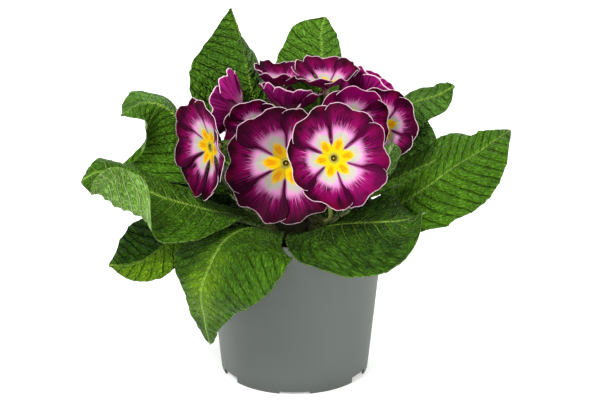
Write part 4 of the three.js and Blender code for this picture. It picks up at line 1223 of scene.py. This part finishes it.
def crown(material):
    """The root-stock, with the scars of old stalks round its upper half."""
    radius, height = (column[:, None] for column in np.array(CROWN_PROFILE, float).T)
    angle = circle(CROWN_SIDES)
    scar = 1 + 0.035 * np.cos(SCARS * angle + height * 0.4) * smooth(height, 74, 80)
    flat = 0.02 + 0.96 * bundle(angle / (2 * math.pi), np.linspace(0, 1, len(radius))[:, None])
    sheets = Sheets()
    points = polar(radius * scar, angle, height)
    sheets.grid(points, flat, {"soil": [0.5, 0.0, 0.0]}, around=True, turned=True)
    sheets.build("crown", material)


def crown_paint():
    p = Paint("crown_flesh")
    patch = p.noise(p.place(), 160.0, 3.0)
    colour = p.layers(
        p.mix(p.step(patch, 0.35, 0.65), "#2c2610", "#3e461a"),
        ("#4e3424", p.step(p.height(), 0.082, 0.074), 0.8))
    return p.finish(colour, 0.7, patch, strength=0.5, distance=0.0008)


# ---- stage: camera, light and floor, in metres ----
SENSOR = 36
LENS = 114.96
CAMERA_PLACE = (0.003, -1.0, 0.456)
CAMERA_PITCH = 70.36
WORLD_LIGHT = 0.64
PAPER_GLOW = 0.36
AIM = (0, 0, 0.11)
# name, place, size and power
LAMPS = [("key", (-0.55, -0.75, 1.15), 0.6, 18.5), ("fill", (0.95, -0.75, 0.5), 0.9, 5.5),
         ("back", (0.25, 0.95, 0.8), 0.8, 6)]
# corners of the floor in millimetres
FLOOR = [(-6000, -6000, 0), (6000, -6000, 0), (6000, 9000, 0), (-6000, 9000, 0)]


def lamp(name, place, size, power):
    data = bpy.data.lights.new(name, "AREA")
    data.shape = "DISK"
    data.size = size
    data.energy = power
    made = placed(name, data)
    made.location = place
    made.rotation_euler = (Vector(AIM) - Vector(place)).to_track_quat("-Z", "Y").to_euler()


def paper_floor():
    floor = solid("floor", FLOOR, [(0, 1, 2, 3)])
    p = Paint("paper")
    colour = p.mix(p.noise(p.place(), 3.0), "#f6f6f6", "#fafafa")
    paper = p.finish(colour, 0.9, Emission_Color=(1, 1, 1, 1), Emission_Strength=PAPER_GLOW)
    floor.data.materials.append(paper)


def stage():
    scene = bpy.context.scene
    data = bpy.data.cameras.new("camera")
    data.sensor_width = SENSOR
    data.lens = LENS
    data.clip_end = 20
    camera = placed("camera", data)
    camera.location = CAMERA_PLACE
    camera.rotation_euler = (math.radians(CAMERA_PITCH), 0, 0)
    scene.camera = camera
    scene.view_settings.view_transform = "Standard"

    world = bpy.data.worlds.new("studio")
    world.use_nodes = True
    light = world.node_tree.nodes["Background"].inputs
    light["Color"].default_value = (1, 1, 1, 1)
    light["Strength"].default_value = WORLD_LIGHT
    scene.world = world
    paper_floor()
    for values in LAMPS:
        lamp(*values)


# ---- everything ----
stage()
leaf_material = leaf_paint()
for index, spec in enumerate(LEAVES):
    leaf(index, spec, leaf_material)
petal_material = petal_paint()
stem_material = stem_paint()
for index, spec in enumerate(BLOOMS):
    bloom(index, spec, petal_material)
    stem(index, spec, stem_material)
pot(pot_paint())
soil(soil_paint())
crown(crown_paint())
